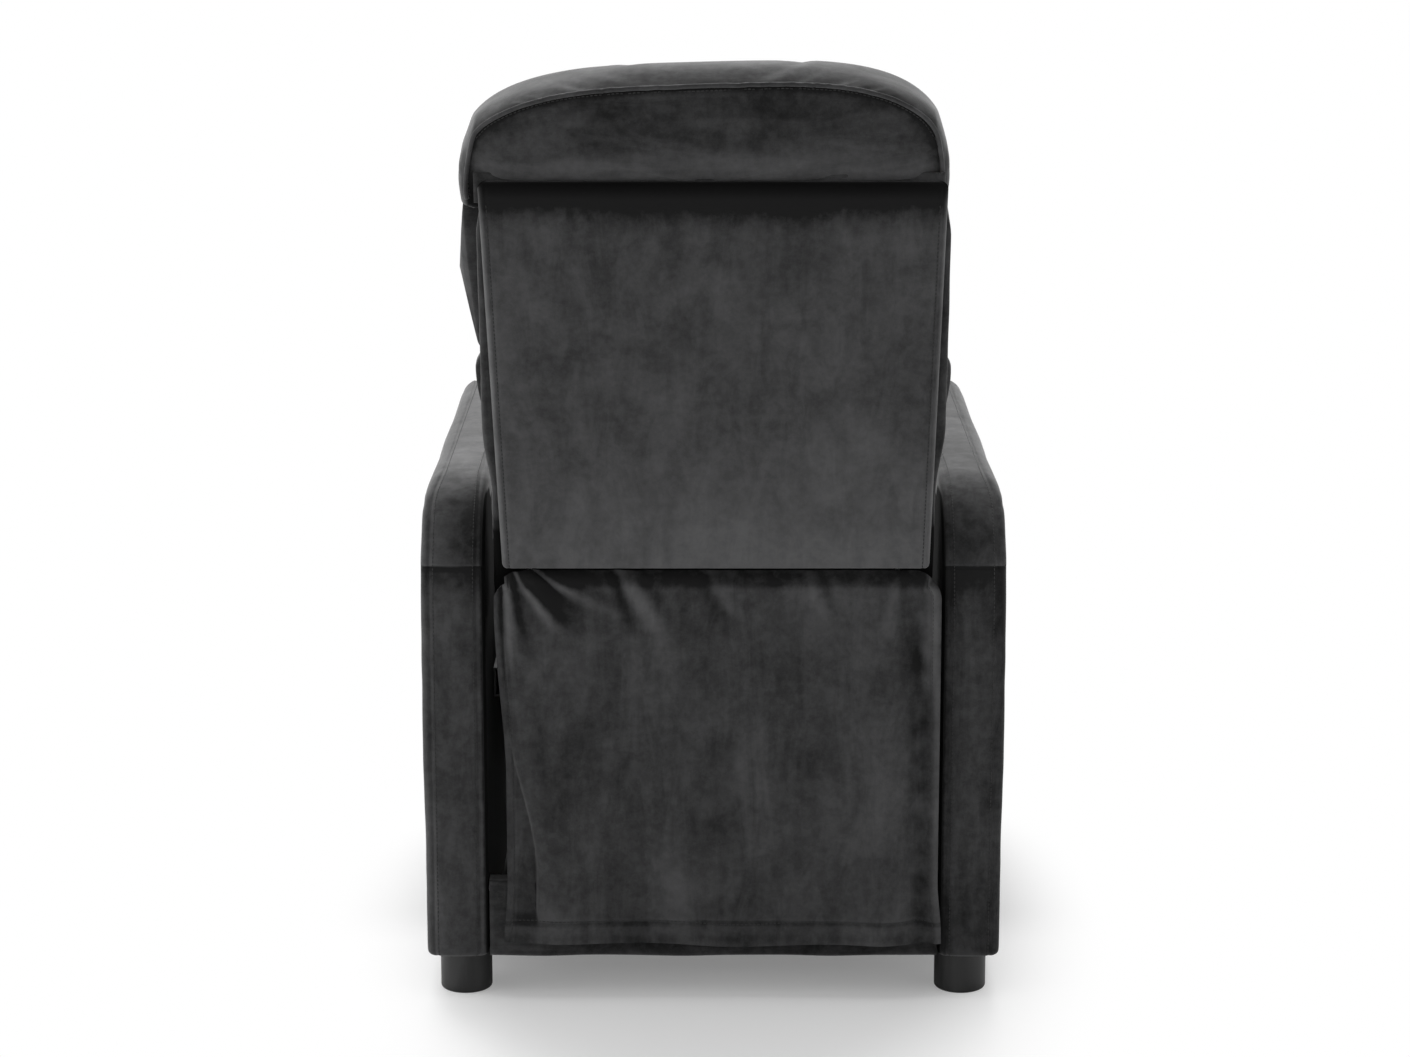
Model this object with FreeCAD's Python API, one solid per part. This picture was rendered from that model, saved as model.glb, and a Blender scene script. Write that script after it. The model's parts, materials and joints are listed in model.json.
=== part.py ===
import FreeCAD, Part
import math
import os

os.makedirs("parts", exist_ok=True)

V = FreeCAD.Vector

# Millimetres. The chair faces -Y, its left side is +X, the floor is z = 0.
width = 640.0
arm_width = 70.0
arm_rear = 305.5
arm_length = 720.0
arm_top = 580.0
arm_rear_radius = 130.0
arm_front_radius = 25.0
arm_seam_radius = 9.0
foot_height = 50.0
foot_diameter = 58.0
foot_inset = 45.0
side_padding = 7.0
end_padding = 12.0

# timber of the arms and the base
post_depth = 40.0
front_post_depth = 86.0
post_top = 488.0
arm_rail_height = 40.0
arm_rail_setback = 24.0
bottom_rail_height = 40.0
mount_rail_bottom = 300.0
mount_rail_height = 60.0
base_rail_thickness = 22.0
rear_base_rail_height = 87.0
front_base_rail_height = 32.0
rear_base_rail_recess = 4.0
front_base_rail_gap = 10.0

# fasteners
bolt_radius = 3.0
rail_bolt_radius = 4.0
stud_radius = 4.0
fit = 0.05
bolt_head_height = 2.5
rail_bolt_reach = 50.0
rail_bolt_drop = 12.0

# slide of the seat: rollers run in tracks on the arms
roller_radius = 14.0
roller_width = 11.0
roller_height = 330.0
roller_spacing = 250.0
roller_shaft_radius = 5.0
slide_travel = 80.0
track_clearance = 0.4
track_thickness = 2.5
track_depth = 21.0
track_front_margin = 8.0
track_back_margin = 18.0
front_roller_setback = 230.0
roller_side_gap = 4.5

# footrest and its linkage, measured forward of the footrest board's rear face
board_rear_from_arm_rear = 652.0
board_thickness = 15.0
board_side_gap = 25.0
board_bottom = 100.0
board_top = 350.0
pad_thickness = 48.0
pad_side_gap = 10.0
pad_bottom = 85.0
pad_top = 360.0
soft_gap = 0.4
front_pivot_setback = 40.0
pivot_spacing = 90.0
pivot_height = 285.0
swing_length = 165.0
swing_start = -135.0
footrest_pivot_setback = 47.0
footrest_pivot_height = 330.0
steer_radius = 30.0
steer_angle = -82.0
link_half = 9.0
swing_half = 12.0
pin_radius = 4.0
pin_head_radius = 7.0
plate_thickness = 3.0
seat_plate_gap = 50.0
swing_space = 3.0
coupler_space = 4.0
bracket_space = 4.0
drive_space = 6.0
drive_slot_play = 2.6
drive_plate_half = 16.0
drive_flange = 34.0
knee_tube_radius = 10.0
knee_tube_wall = 1.5

# seat
seat_frame_front_gap = 12.0
seat_frame_length = 490.0
seat_rail_thickness = 35.0
seat_rail_bottom = 300.0
seat_rail_top = 367.5
seat_cross_rail_top = 360.0
cross_tube_setback = 22.0
cross_tube_z = 300.0
spring_count = 5
spring_side_gap = 10.0
spring_clear = 1.3
spring_wire_radius = 1.9
spring_runs = 21
clip_wall = 1.2
seat_side_gap = 6.0
seat_top = 466.0

# back, drawn upright about its hinge and then leaned
hinge_setback = 75.0
hinge_height = 400.0
lean = 13.5
hinge_pin_radius = 6.0
hinge_space = 1.0
stile_width = 30.0
stile_depth = 36.0
stile_bottom = 45.0
stile_top = 561.0
back_rail_height = 45.0
webbing_thickness = 2.0
panel_thickness = 19.5
panel_bottom = 111.0
panel_top = 561.5
panel_bottom_gap = 16.0
panel_top_gap = 5.0
head_overhang = 8.0
head_top = 668.0
pad_joint_upper = 529.0
pad_joint_lower = 343.0
lumbar_bottom = 50.0
lumbar_side_gap = 6.0
lumbar_over_arm = 20.0

# loose flap below the back
flap_side_gap = 3.0
flap_bottom = 70.0
flap_top = 488.0
flap_thickness = 3.0
flap_folds = 8
flap_fold_depths = [4.0, 2.5, 1.0]

half_width = width / 2
arm_inner = half_width - arm_width
arm_front = arm_rear - arm_length
timber_inner = arm_inner + side_padding
timber_outer = half_width - side_padding
board_rear = arm_rear - board_rear_from_arm_rear
front_pivot_y = board_rear + front_pivot_setback
rear_pivot_y = front_pivot_y + pivot_spacing
hinge_y = arm_rear - hinge_setback

# Widths across the chair are set off from the inner faces of the arms.
board_half_width = arm_inner - board_side_gap
pad_half_width = arm_inner - pad_side_gap
seat_half_width = arm_inner - seat_side_gap
lumbar_half_width = arm_inner - lumbar_side_gap
flap_half_width = arm_inner - flap_side_gap
panel_half_bottom = arm_inner - panel_bottom_gap
panel_half_top = arm_inner - panel_top_gap
head_half_width = arm_inner + head_overhang

# Plates and links lie side by side in layers, counted outwards from the seat plate.
seat_plate_inner = arm_inner - seat_plate_gap
plate_outer = seat_plate_inner + plate_thickness
swing_layer = plate_outer + swing_space
swing_outer = swing_layer + plate_thickness
coupler_layer = swing_outer + coupler_space
coupler_outer = coupler_layer + plate_thickness
bracket_layer = coupler_outer + bracket_space
bracket_plate_outer = bracket_layer + plate_thickness
drive_layer = bracket_plate_outer + drive_space
drive_plate_outer = drive_layer + plate_thickness
bracket_inner = plate_outer + hinge_space
bracket_outer = bracket_inner + plate_thickness
stile_inner = bracket_outer


def save(name, *solids):
    shape = solids[0]
    if len(solids) > 1:
        shape = Part.makeCompound(list(solids))
    shape.exportStep("parts/" + name + ".step")


def mirrored(shape):
    return shape.mirror(V(0, 0, 0), V(1, 0, 0))


def save_pair(name, solids):
    save(name + "_left", *solids)
    save(name + "_right", *[mirrored(s) for s in solids])


def both_sides(solids):
    return solids + [mirrored(s) for s in solids]


def block(x0, x1, y0, y1, z0, z1):
    return Part.makeBox(x1 - x0, y1 - y0, z1 - z0, V(x0, y0, z0))


def rod(radius, x0, x1, y, z):
    return Part.makeCylinder(radius, x1 - x0, V(x0, y, z), V(1, 0, 0))


def cut_all(solid, tools):
    for tool in tools:
        solid = solid.cut(tool)
    return solid


def fuse_all(solids):
    whole = solids[0]
    for solid in solids[1:]:
        whole = whole.fuse(solid)
    return whole.removeSplitter()


# An outline is a list of points, with a through point marked by a leading "arc".
def outline(start, steps, place):
    edges = []
    at = start
    for step in steps:
        if step[0] == "arc":
            edges.append(Part.Arc(place(at), place(step[1]), place(step[2])).toShape())
            at = step[2]
        else:
            edges.append(Part.makeLine(place(at), place(step)))
            at = step
    return Part.Wire(edges)


def side_solid(start, steps, x0, x1):
    wire = outline(start, steps, lambda p: V(x0, p[0], p[1]))
    return Part.Face(wire).extrude(V(x1 - x0, 0, 0))


def front_solid(start, steps, y0, y1):
    wire = outline(start, steps, lambda p: V(p[0], y0, p[1]))
    return Part.Face(wire).extrude(V(0, y1 - y0, 0))


def plan_solid(start, steps, z0, z1):
    wire = outline(start, steps, lambda p: V(p[0], p[1], z0))
    return Part.Face(wire).extrude(V(0, 0, z1 - z0))


# A flat bar with round ends from p to q, both (y, z), lying between x0 and x1.
def flat_bar(p, q, half, x0, x1):
    length = math.hypot(q[0] - p[0], q[1] - p[1])
    dy = (q[0] - p[0]) / length * half
    dz = (q[1] - p[1]) / length * half
    start = (p[0] - dz, p[1] + dy)
    steps = [
        (q[0] - dz, q[1] + dy),
        ("arc", (q[0] + dy, q[1] + dz), (q[0] + dz, q[1] - dy)),
        (p[0] + dz, p[1] - dy),
        ("arc", (p[0] - dy, p[1] - dz), start),
    ]
    return side_solid(start, steps, x0, x1)


# Arms: a padded cover over two posts and three rails.
arm_bottom = foot_height
rear_bulge = arm_rear_radius * (1 - math.sqrt(0.5))
front_bulge = arm_front_radius * (1 - math.sqrt(0.5))
arm_steps = [
    (arm_rear, arm_top - arm_rear_radius),
    ("arc", (arm_rear - rear_bulge, arm_top - rear_bulge), (arm_rear - arm_rear_radius, arm_top)),
    (arm_front + arm_front_radius, arm_top),
    ("arc", (arm_front + front_bulge, arm_top - front_bulge), (arm_front, arm_top - arm_front_radius)),
    (arm_front, arm_bottom),
    (arm_rear, arm_bottom),
]
arm_block = side_solid((arm_rear, arm_bottom), arm_steps, arm_inner, half_width)
seam_edges = []
for edge in arm_block.Edges:
    box = edge.BoundBox
    if box.XLength < 0.1 and box.ZMax > arm_bottom + 1:
        seam_edges.append(edge)
arm_block = arm_block.makeFillet(arm_seam_radius, seam_edges)

rear_post_back = arm_rear - end_padding
front_post_front = arm_front + end_padding
rear_post_front = rear_post_back - post_depth
front_post_back = front_post_front + front_post_depth
arm_rail_rear = rear_post_back - arm_rail_setback
arm_rail_front = front_post_front + arm_rail_setback
arm_rail_top = post_top + arm_rail_height
cavity_low = block(timber_inner, timber_outer, front_post_front, rear_post_back, arm_bottom, post_top)
cavity_high = block(timber_inner, timber_outer, arm_rail_front, arm_rail_rear, post_top, arm_rail_top)
arm_cover = cut_all(arm_block, [cavity_low, cavity_high])

front_post = block(timber_inner, timber_outer, front_post_front, front_post_back, arm_bottom, post_top)
rear_post = block(timber_inner, timber_outer, rear_post_front, rear_post_back, arm_bottom, post_top)
top_rail = block(timber_inner, timber_outer, arm_rail_front, arm_rail_rear, post_top, arm_rail_top)
bottom_rail = block(
    timber_inner, timber_outer, front_post_back, rear_post_front, arm_bottom, arm_bottom + bottom_rail_height
)
mount_rail = block(
    timber_inner,
    timber_outer,
    front_post_back,
    rear_post_front,
    mount_rail_bottom,
    mount_rail_bottom + mount_rail_height,
)

# Feet, flush with the arms' inner faces, each screwed up into a post by a stud.
foot_radius = foot_diameter / 2
foot_edge = 4.0
foot_x = arm_inner + foot_radius
foot_centres = {"rear": arm_rear - foot_inset, "front": arm_front + foot_inset}
stud_bottom = 20.0
stud_top = 62.0
studs = []
for end, foot_y in foot_centres.items():
    foot = Part.makeCylinder(foot_radius, foot_height, V(foot_x, foot_y, 0))
    rim = [e for e in foot.Edges if e.BoundBox.ZMax < 0.1]
    foot = foot.makeFillet(foot_edge, rim)
    bore = Part.makeCylinder(stud_radius + fit, foot_height, V(foot_x, foot_y, stud_bottom))
    post_bore = Part.makeCylinder(stud_radius + fit, stud_top, V(foot_x, foot_y, arm_bottom))
    post_bore = post_bore.common(
        block(timber_inner, timber_outer, arm_front, arm_rear, arm_bottom, stud_top)
    )
    foot = foot.cut(bore)
    save_pair("foot_" + end, [foot])
    studs.append(Part.makeCylinder(stud_radius, stud_top - stud_bottom, V(foot_x, foot_y, stud_bottom)))
    if end == "rear":
        rear_post = rear_post.cut(post_bore)
    else:
        front_post = front_post.cut(post_bore)
save("foot_studs", *both_sides(studs))

# Base rails between the arms, each end drawn up by a long bolt through the post.
rear_rail_back = arm_rear - rear_base_rail_recess
rear_rail_front = rear_rail_back - base_rail_thickness
front_rail_front = board_rear + front_base_rail_gap
front_rail_back = front_rail_front + base_rail_thickness
rail_bolt_end = arm_inner - rail_bolt_reach
rail_bolt_head = 7.0
rail_bolt_head_length = 6.0
rail_bolts = []
rear_rail_top = foot_height + rear_base_rail_height
front_rail_top = foot_height + front_base_rail_height
rear_base_rail = block(-arm_inner, arm_inner, rear_rail_front, rear_rail_back, foot_height, rear_rail_top)
front_base_rail = block(-arm_inner, arm_inner, front_rail_front, front_rail_back, foot_height, front_rail_top)
rail_bolt_points = {
    "rear": ((rear_rail_front + rear_post_back) / 2, rear_rail_top - rail_bolt_drop),
    "front": ((front_rail_front + front_post_back) / 2, front_rail_top - rail_bolt_drop),
}
for end, (bolt_y, bolt_z) in rail_bolt_points.items():
    shank = rod(rail_bolt_radius, rail_bolt_end, timber_outer, bolt_y, bolt_z)
    head = rod(rail_bolt_head, timber_outer - rail_bolt_head_length, timber_outer, bolt_y, bolt_z)
    rail_bolts.append(shank.fuse(head).removeSplitter())
    way = rod(rail_bolt_radius + fit, rail_bolt_end, timber_outer, bolt_y, bolt_z)
    seat_of_head = rod(
        rail_bolt_head + 0.3, timber_outer - rail_bolt_head_length - fit, timber_outer, bolt_y, bolt_z
    )
    arm_cover = arm_cover.cut(way)
    if end == "rear":
        rear_post = cut_all(rear_post, [way, seat_of_head])
        rear_base_rail = cut_all(rear_base_rail, [way, mirrored(way)])
    else:
        front_post = cut_all(front_post, [way, seat_of_head])
        front_base_rail = cut_all(front_base_rail, [way, mirrored(way)])
save("base_rail_rear", rear_base_rail)
save("base_rail_front", front_base_rail)
save("rail_bolts", *both_sides(rail_bolts))

# Tracks: channels on the arms that the seat's rollers run in.
front_roller_y = board_rear + front_roller_setback
rear_roller_y = front_roller_y + roller_spacing
track_front = front_roller_y - slide_travel - roller_radius - track_front_margin
track_back = rear_roller_y + roller_radius + track_back_margin
inside = roller_radius + track_clearance
outside = inside + track_thickness
web_face = arm_inner - track_thickness
track = block(
    arm_inner - track_depth,
    arm_inner,
    track_front,
    track_back,
    roller_height - outside,
    roller_height + outside,
)
track = track.cut(
    block(
        arm_inner - track_depth,
        web_face,
        track_front,
        track_back,
        roller_height - inside,
        roller_height + inside,
    )
)
bolt_length = 34.0
bolt_head_radius = 6.0
mechanism_bolts = []


def arm_bolt(y, z):
    shank = rod(bolt_radius, web_face, web_face + bolt_length, y, z)
    head = rod(bolt_head_radius, web_face - bolt_head_height, web_face, y, z)
    return shank.fuse(head).removeSplitter()


def arm_bolt_hole(y, z):
    return rod(bolt_radius + fit, web_face - 1.0, web_face + bolt_length + fit, y, z)


track_bolt_ys = [front_roller_y + 45.0, front_roller_y + 130.0]
for bolt_y in track_bolt_ys:
    hole = arm_bolt_hole(bolt_y, roller_height)
    mechanism_bolts.append(arm_bolt(bolt_y, roller_height))
    track = track.cut(hole)
    arm_cover = arm_cover.cut(hole)
    mount_rail = mount_rail.cut(hole)
save_pair("track", [track])

# Linkage points at rest as (y, z).
# Forward is -Y, so an angle t in the side view points to (-cos t, sin t).
def polar(origin, length, degrees):
    angle = math.radians(degrees)
    return (origin[0] - length * math.cos(angle), origin[1] + length * math.sin(angle))


def shifted(point, by):
    return (point[0] + by[0], point[1] + by[1])


front_pivot = (front_pivot_y, pivot_height)
rear_pivot = (rear_pivot_y, pivot_height)
knee = polar(front_pivot, swing_length, swing_start)
rear_knee = shifted(knee, (pivot_spacing, 0))
footrest_pivot = (board_rear + footrest_pivot_setback, footrest_pivot_height)
steer = polar(knee, steer_radius, steer_angle)
steer_end = shifted(footrest_pivot, (steer[0] - knee[0], steer[1] - knee[1]))
crank_radius = slide_travel / math.sqrt(2)
crank = polar(rear_pivot, crank_radius, 45.0)
crank_high = pivot_height + crank_radius

# Drive brackets on the arms: an upright slot holds the crank pins while the seat slides.
slot_y = crank[0]
bracket_low = crank[1] - 22.0
bracket_high = crank_high + 14.0
plate_front = slot_y - drive_plate_half
plate_back = slot_y + drive_plate_half
web_front = plate_front - plate_thickness
flange_front = plate_front - drive_flange
drive_bracket = fuse_all(
    [
        block(drive_layer, drive_plate_outer, plate_front, plate_back, bracket_low, bracket_high),
        block(drive_layer, arm_inner, web_front, plate_front, bracket_low, bracket_high),
        block(web_face, arm_inner, flange_front, plate_front, bracket_low, bracket_high),
    ]
)
slot_half = pin_radius + drive_slot_play
slot = flat_bar(
    (slot_y, crank[1] - 1.0),
    (slot_y, crank_high + 1.0),
    slot_half,
    drive_layer - 1.0,
    drive_plate_outer + 1.0,
)
drive_bracket = drive_bracket.cut(slot)
for bolt_z in (bracket_low + 10.0, bracket_high - 16.0):
    bolt_y = flange_front + 14.0
    hole = arm_bolt_hole(bolt_y, bolt_z)
    mechanism_bolts.append(arm_bolt(bolt_y, bolt_z))
    drive_bracket = drive_bracket.cut(hole)
    arm_cover = arm_cover.cut(hole)
    mount_rail = mount_rail.cut(hole)
save_pair("drive_bracket", [drive_bracket])
save("mechanism_bolts", *both_sides(mechanism_bolts))
save_pair("arm_cover", [arm_cover])
save_pair("arm_frame", [front_post, rear_post, top_rail, bottom_rail, mount_rail])

# Seat plates: one steel plate a side carries the rollers, the footrest links and the back.
plate_front_y = board_rear + 24.0
plate_back_y = hinge_y - 24.0
plate_low = 268.0
plate_high = 352.0
hinge = (hinge_y, hinge_height)
seat_plate = fuse_all(
    [
        block(seat_plate_inner, plate_outer, plate_front_y, plate_back_y, plate_low, plate_high),
        flat_bar((hinge_y - 4.0, plate_low + 24.0), hinge, 24.0, seat_plate_inner, plate_outer),
    ]
)


def pin_hole(point, radius, x0):
    return rod(radius + fit, x0 - 1.0, x0 + plate_thickness + 1.0, point[0], point[1])


# A headed pin: shank through a plate and a link, with a collar that keeps the two apart.
def collar_pin(point, radius, x0, collar_x0, collar_x1, head_x):
    shank = rod(radius, x0, head_x, point[0], point[1])
    collar = rod(pin_head_radius, collar_x0, collar_x1, point[0], point[1])
    head = rod(pin_head_radius, head_x, head_x + 2.2, point[0], point[1])
    return fuse_all([shank, collar, head])


pivot_pins = []
for point in (front_pivot, rear_pivot):
    seat_plate = seat_plate.cut(pin_hole(point, pin_radius, seat_plate_inner))
    pivot_pins.append(
        collar_pin(
            point,
            pin_radius,
            seat_plate_inner,
            plate_outer,
            swing_layer - fit,
            swing_layer + plate_thickness + 0.2,
        )
    )
seat_plate = seat_plate.cut(pin_hole(hinge, hinge_pin_radius, seat_plate_inner))
hinge_pin = fuse_all(
    [
        rod(hinge_pin_radius, seat_plate_inner - 0.2, bracket_outer + 0.2, hinge[0], hinge[1]),
        rod(hinge_pin_radius + 4.0, seat_plate_inner - 4.0, seat_plate_inner - 0.2, hinge[0], hinge[1]),
        rod(hinge_pin_radius + 4.0, plate_outer + 0.2, bracket_inner - 0.2, hinge[0], hinge[1]),
        rod(hinge_pin_radius + 4.0, bracket_outer + 0.2, bracket_outer + 4.2, hinge[0], hinge[1]),
    ]
)
pivot_pins.append(hinge_pin)
save("pivot_pins", *both_sides(pivot_pins))

# Roller shafts stand out from the plates and end in a retaining collar.
roller_outer = web_face - roller_side_gap
roller_inner = roller_outer - roller_width
shafts = []
for roller_y in (front_roller_y, rear_roller_y):
    axle = (roller_y, roller_height)
    shafts.append(
        fuse_all(
            [
                rod(roller_shaft_radius + 2.0, plate_outer, roller_inner - 0.3, *axle),
                rod(roller_shaft_radius, seat_plate_inner, roller_outer + 0.3, *axle),
                rod(roller_shaft_radius + 3.0, roller_outer + 0.3, roller_outer + 1.8, *axle),
            ]
        )
    )
    seat_plate = seat_plate.cut(pin_hole(axle, roller_shaft_radius, seat_plate_inner))
save("roller_shafts", *both_sides(shafts))

roller_blank = rod(roller_radius, roller_inner, roller_outer, 0, 0)
roller_bore = rod(roller_shaft_radius + fit, roller_inner - 1.0, roller_outer + 1.0, 0, 0)
roller = roller_blank.cut(roller_bore)
for name, roller_y in (("front_rollers", front_roller_y), ("rear_rollers", rear_roller_y)):
    placed = roller.copy()
    placed.translate(V(0, roller_y, roller_height))
    save(name, *both_sides([placed]))

# Seat timber: two side rails bolted to the plates, with a front and a rear rail between them.
seat_front = board_rear + seat_frame_front_gap
seat_back = seat_front + seat_frame_length
side_rail_inner = seat_plate_inner - seat_rail_thickness
seat_side_rail = block(
    side_rail_inner, seat_plate_inner, seat_front, seat_back, seat_rail_bottom, seat_rail_top
)
seat_bolt_points = [
    (plate_front_y + 12.0, 338.0),
    (front_roller_y + 70.0, 325.0),
    (front_roller_y + 180.0, 325.0),
]
seat_bolts = []
seat_bolt_end = side_rail_inner + 6.0
for bolt_y, bolt_z in seat_bolt_points:
    shank = rod(bolt_radius, seat_bolt_end, plate_outer, bolt_y, bolt_z)
    head = rod(bolt_head_radius, plate_outer, plate_outer + bolt_head_height, bolt_y, bolt_z)
    seat_bolts.append(shank.fuse(head).removeSplitter())
    hole = rod(bolt_radius + fit, seat_bolt_end - fit, plate_outer + 1.0, bolt_y, bolt_z)
    seat_plate = seat_plate.cut(hole)
    seat_side_rail = seat_side_rail.cut(hole)
pivot_recess = []
for point in (front_pivot, rear_pivot):
    pivot_recess.append(rod(pin_radius + 1.0, seat_plate_inner - 2.0, seat_plate_inner, point[0], point[1]))
save("seat_bolts", *both_sides(seat_bolts))
save_pair("seat_plate", [seat_plate])
save("seat_side_rails", *both_sides([cut_all(seat_side_rail, pivot_recess)]))
front_rail_inner_y = seat_front + seat_rail_thickness
rear_rail_inner_y = seat_back - seat_rail_thickness
cross_rails = {
    "seat_front_rail": (seat_front, front_rail_inner_y),
    "seat_rear_rail": (rear_rail_inner_y, seat_back),
}
for name, (y0, y1) in cross_rails.items():
    cross_rail = block(-side_rail_inner, side_rail_inner, y0, y1, seat_rail_bottom, seat_cross_rail_top)
    save(name, cross_rail)
cross_tube_y = seat_back + cross_tube_setback
cross_tube = rod(knee_tube_radius, -seat_plate_inner, seat_plate_inner, cross_tube_y, cross_tube_z)
cross_tube_bore = rod(
    knee_tube_radius - knee_tube_wall, -seat_plate_inner, seat_plate_inner, cross_tube_y, cross_tube_z
)
save("seat_cross_tube", cross_tube.cut(cross_tube_bore))

# Zigzag springs from the front rail to the rear rail, held at each end by a clip.
spring_z = seat_cross_rail_top + clip_wall + spring_wire_radius
first_run = seat_front + 16.0
last_run = seat_back - 16.0
run_pitch = (last_run - first_run) / (spring_runs - 1)
bend_radius = run_pitch / 2
spring_pitch = 2 * (side_rail_inner - spring_side_gap) / spring_count
spring_run = spring_pitch - 2 * (bend_radius + spring_wire_radius) - spring_clear
half_run = spring_run / 2
path = []
side = 1
for i in range(spring_runs):
    y = first_run + i * run_pitch
    path.append(Part.makeLine(V(-side * half_run, y, spring_z), V(side * half_run, y, spring_z)))
    if i < spring_runs - 1:
        path.append(
            Part.Arc(
                V(side * half_run, y, spring_z),
                V(side * (half_run + bend_radius), y + bend_radius, spring_z),
                V(side * half_run, y + run_pitch, spring_z),
            ).toShape()
        )
    side = -side
path_wire = Part.Wire(path)
section = Part.Wire([Part.makeCircle(spring_wire_radius, V(-half_run, first_run, spring_z), V(1, 0, 0))])
spring = path_wire.makePipeShell([section], True, False)
clip_half = 7.0
clip_top = spring_z + spring_wire_radius + clip_wall
clip_blank = block(-clip_half, clip_half, -clip_half, clip_half, seat_cross_rail_top, clip_top)
clip = clip_blank.cut(rod(spring_wire_radius + fit, -clip_half - 1.0, clip_half + 1.0, 0, spring_z))
springs = []
clips = []
for i in range(spring_count):
    x = (i - (spring_count - 1) / 2) * spring_pitch
    placed = spring.copy()
    placed.translate(V(x, 0, 0))
    springs.append(placed)
    for y in (first_run, last_run):
        placed = clip.copy()
        placed.translate(V(x, y, 0))
        clips.append(placed)
save("seat_springs", *springs)
save("spring_clips", *clips)

# Seat cushion: a long roll at the front, a crown across and sides drawn in at the bottom.
cushion_bottom = seat_rail_top + soft_gap
nose = board_rear - board_thickness - pad_thickness - 5.0
cushion_back = seat_back + 24.0
seat_profile = side_solid(
    (cushion_back, cushion_bottom),
    [
        (nose + 22.0, cushion_bottom),
        ("arc", (nose, cushion_bottom + 30.0), (nose + 10.0, cushion_bottom + 66.0)),
        ("arc", (nose + 24.0, seat_top - 9.0), (nose + 55.0, seat_top - 1.0)),
        ("arc", (nose + 230.0, seat_top), (cushion_back, seat_top - 16.0)),
        (cushion_back, cushion_bottom),
    ],
    -half_width,
    half_width,
)
drawn_in = seat_half_width - 7.0
seat_section = front_solid(
    (-drawn_in, cushion_bottom - 1.0),
    [
        ("arc", (-seat_half_width, cushion_bottom + 40.0), (-drawn_in, seat_top - 18.0)),
        ("arc", (0, seat_top + 2.0), (drawn_in, seat_top - 18.0)),
        ("arc", (seat_half_width, cushion_bottom + 40.0), (drawn_in, cushion_bottom - 1.0)),
        (-drawn_in, cushion_bottom - 1.0),
    ],
    nose - 20.0,
    cushion_back + 20.0,
)
save("seat_cushion", seat_profile.common(seat_section))

# Footrest links. The front link swings on the seat and turns the footrest.
# The rear link is parallel to it.
def stud_out(point, x0, link_x0, link_x1):
    return [
        rod(pin_head_radius, x0, link_x0 - fit, point[0], point[1]),
        rod(pin_radius, link_x0 - fit, link_x1 + 0.2, point[0], point[1]),
        rod(pin_head_radius, link_x1 + 0.2, link_x1 + 2.2, point[0], point[1]),
    ]


def eye(solid, point, x0):
    return solid.cut(pin_hole(point, pin_radius, x0))


front_link = fuse_all(
    [
        flat_bar(front_pivot, knee, swing_half, swing_layer, swing_outer),
        flat_bar(knee, steer, swing_half, swing_layer, swing_outer),
    ]
    + stud_out(knee, swing_outer, coupler_layer, coupler_outer)
    + stud_out(steer, swing_outer, coupler_layer, coupler_outer)
)
save_pair("front_link", [eye(front_link, front_pivot, swing_layer)])
rear_link = fuse_all(
    [
        flat_bar(rear_pivot, rear_knee, swing_half, swing_layer, swing_outer),
        flat_bar(rear_pivot, crank, swing_half, swing_layer, swing_outer),
    ]
    + stud_out(rear_knee, swing_outer, coupler_layer, coupler_outer)
    + [
        rod(pin_radius + 1.5, swing_outer, drive_layer - 1.0, crank[0], crank[1]),
        rod(pin_radius, drive_layer - 1.0, drive_plate_outer + 2.0, crank[0], crank[1]),
    ]
)
save_pair("rear_link", [eye(rear_link, rear_pivot, swing_layer)])
coupler = fuse_all(
    [
        flat_bar(rear_knee, knee, link_half, coupler_layer, coupler_outer),
        flat_bar(knee, footrest_pivot, link_half, coupler_layer, coupler_outer),
    ]
)
for point in (rear_knee, knee, footrest_pivot):
    coupler = eye(coupler, point, coupler_layer)
save_pair("coupler_link", [coupler])
steer_link = flat_bar(steer, steer_end, link_half, coupler_layer, coupler_outer)
for point in (steer, steer_end):
    steer_link = eye(steer_link, point, coupler_layer)
save_pair("steer_link", [steer_link])
knee_tube = rod(knee_tube_radius, -swing_layer, swing_layer, knee[0], knee[1])
knee_tube_bore = rod(knee_tube_radius - knee_tube_wall, -swing_layer, swing_layer, knee[0], knee[1])
save("knee_tube", knee_tube.cut(knee_tube_bore))

# Footrest: a bracket a side, a board and a domed pad.
flange_inner = bracket_layer - 30.0
flange_low = steer_end[1] - 70.0
flange_high = footrest_pivot_height + 12.0
board_face = board_rear
flange_back = board_face + plate_thickness
bracket_arm = fuse_all(
    [
        flat_bar(footrest_pivot, steer_end, 11.0, bracket_layer, bracket_plate_outer),
        flat_bar(
            (footrest_pivot[0], (footrest_pivot[1] + steer_end[1]) / 2),
            (board_face + 20.0, (footrest_pivot[1] + steer_end[1]) / 2),
            16.0,
            bracket_layer,
            bracket_plate_outer,
        ),
        block(bracket_layer, bracket_plate_outer, board_face, board_face + 20.0, flange_low, flange_high),
        block(flange_inner, bracket_plate_outer, board_face, flange_back, flange_low, flange_high),
    ]
    + [
        rod(pin_head_radius, coupler_outer + fit, bracket_layer, point[0], point[1])
        for point in (footrest_pivot, steer_end)
    ]
    + [
        rod(pin_radius, coupler_layer - 0.2, coupler_outer + fit, point[0], point[1])
        for point in (footrest_pivot, steer_end)
    ]
    + [
        rod(pin_head_radius, coupler_layer - 2.2, coupler_layer - 0.2, point[0], point[1])
        for point in (footrest_pivot, steer_end)
    ]
)
board = block(
    -board_half_width, board_half_width, board_face - board_thickness, board_face, board_bottom, board_top
)
screw_x = flange_inner + 13.0
screw_radius = 2.5
screw_length = 12.0
footrest_screws = []
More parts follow.
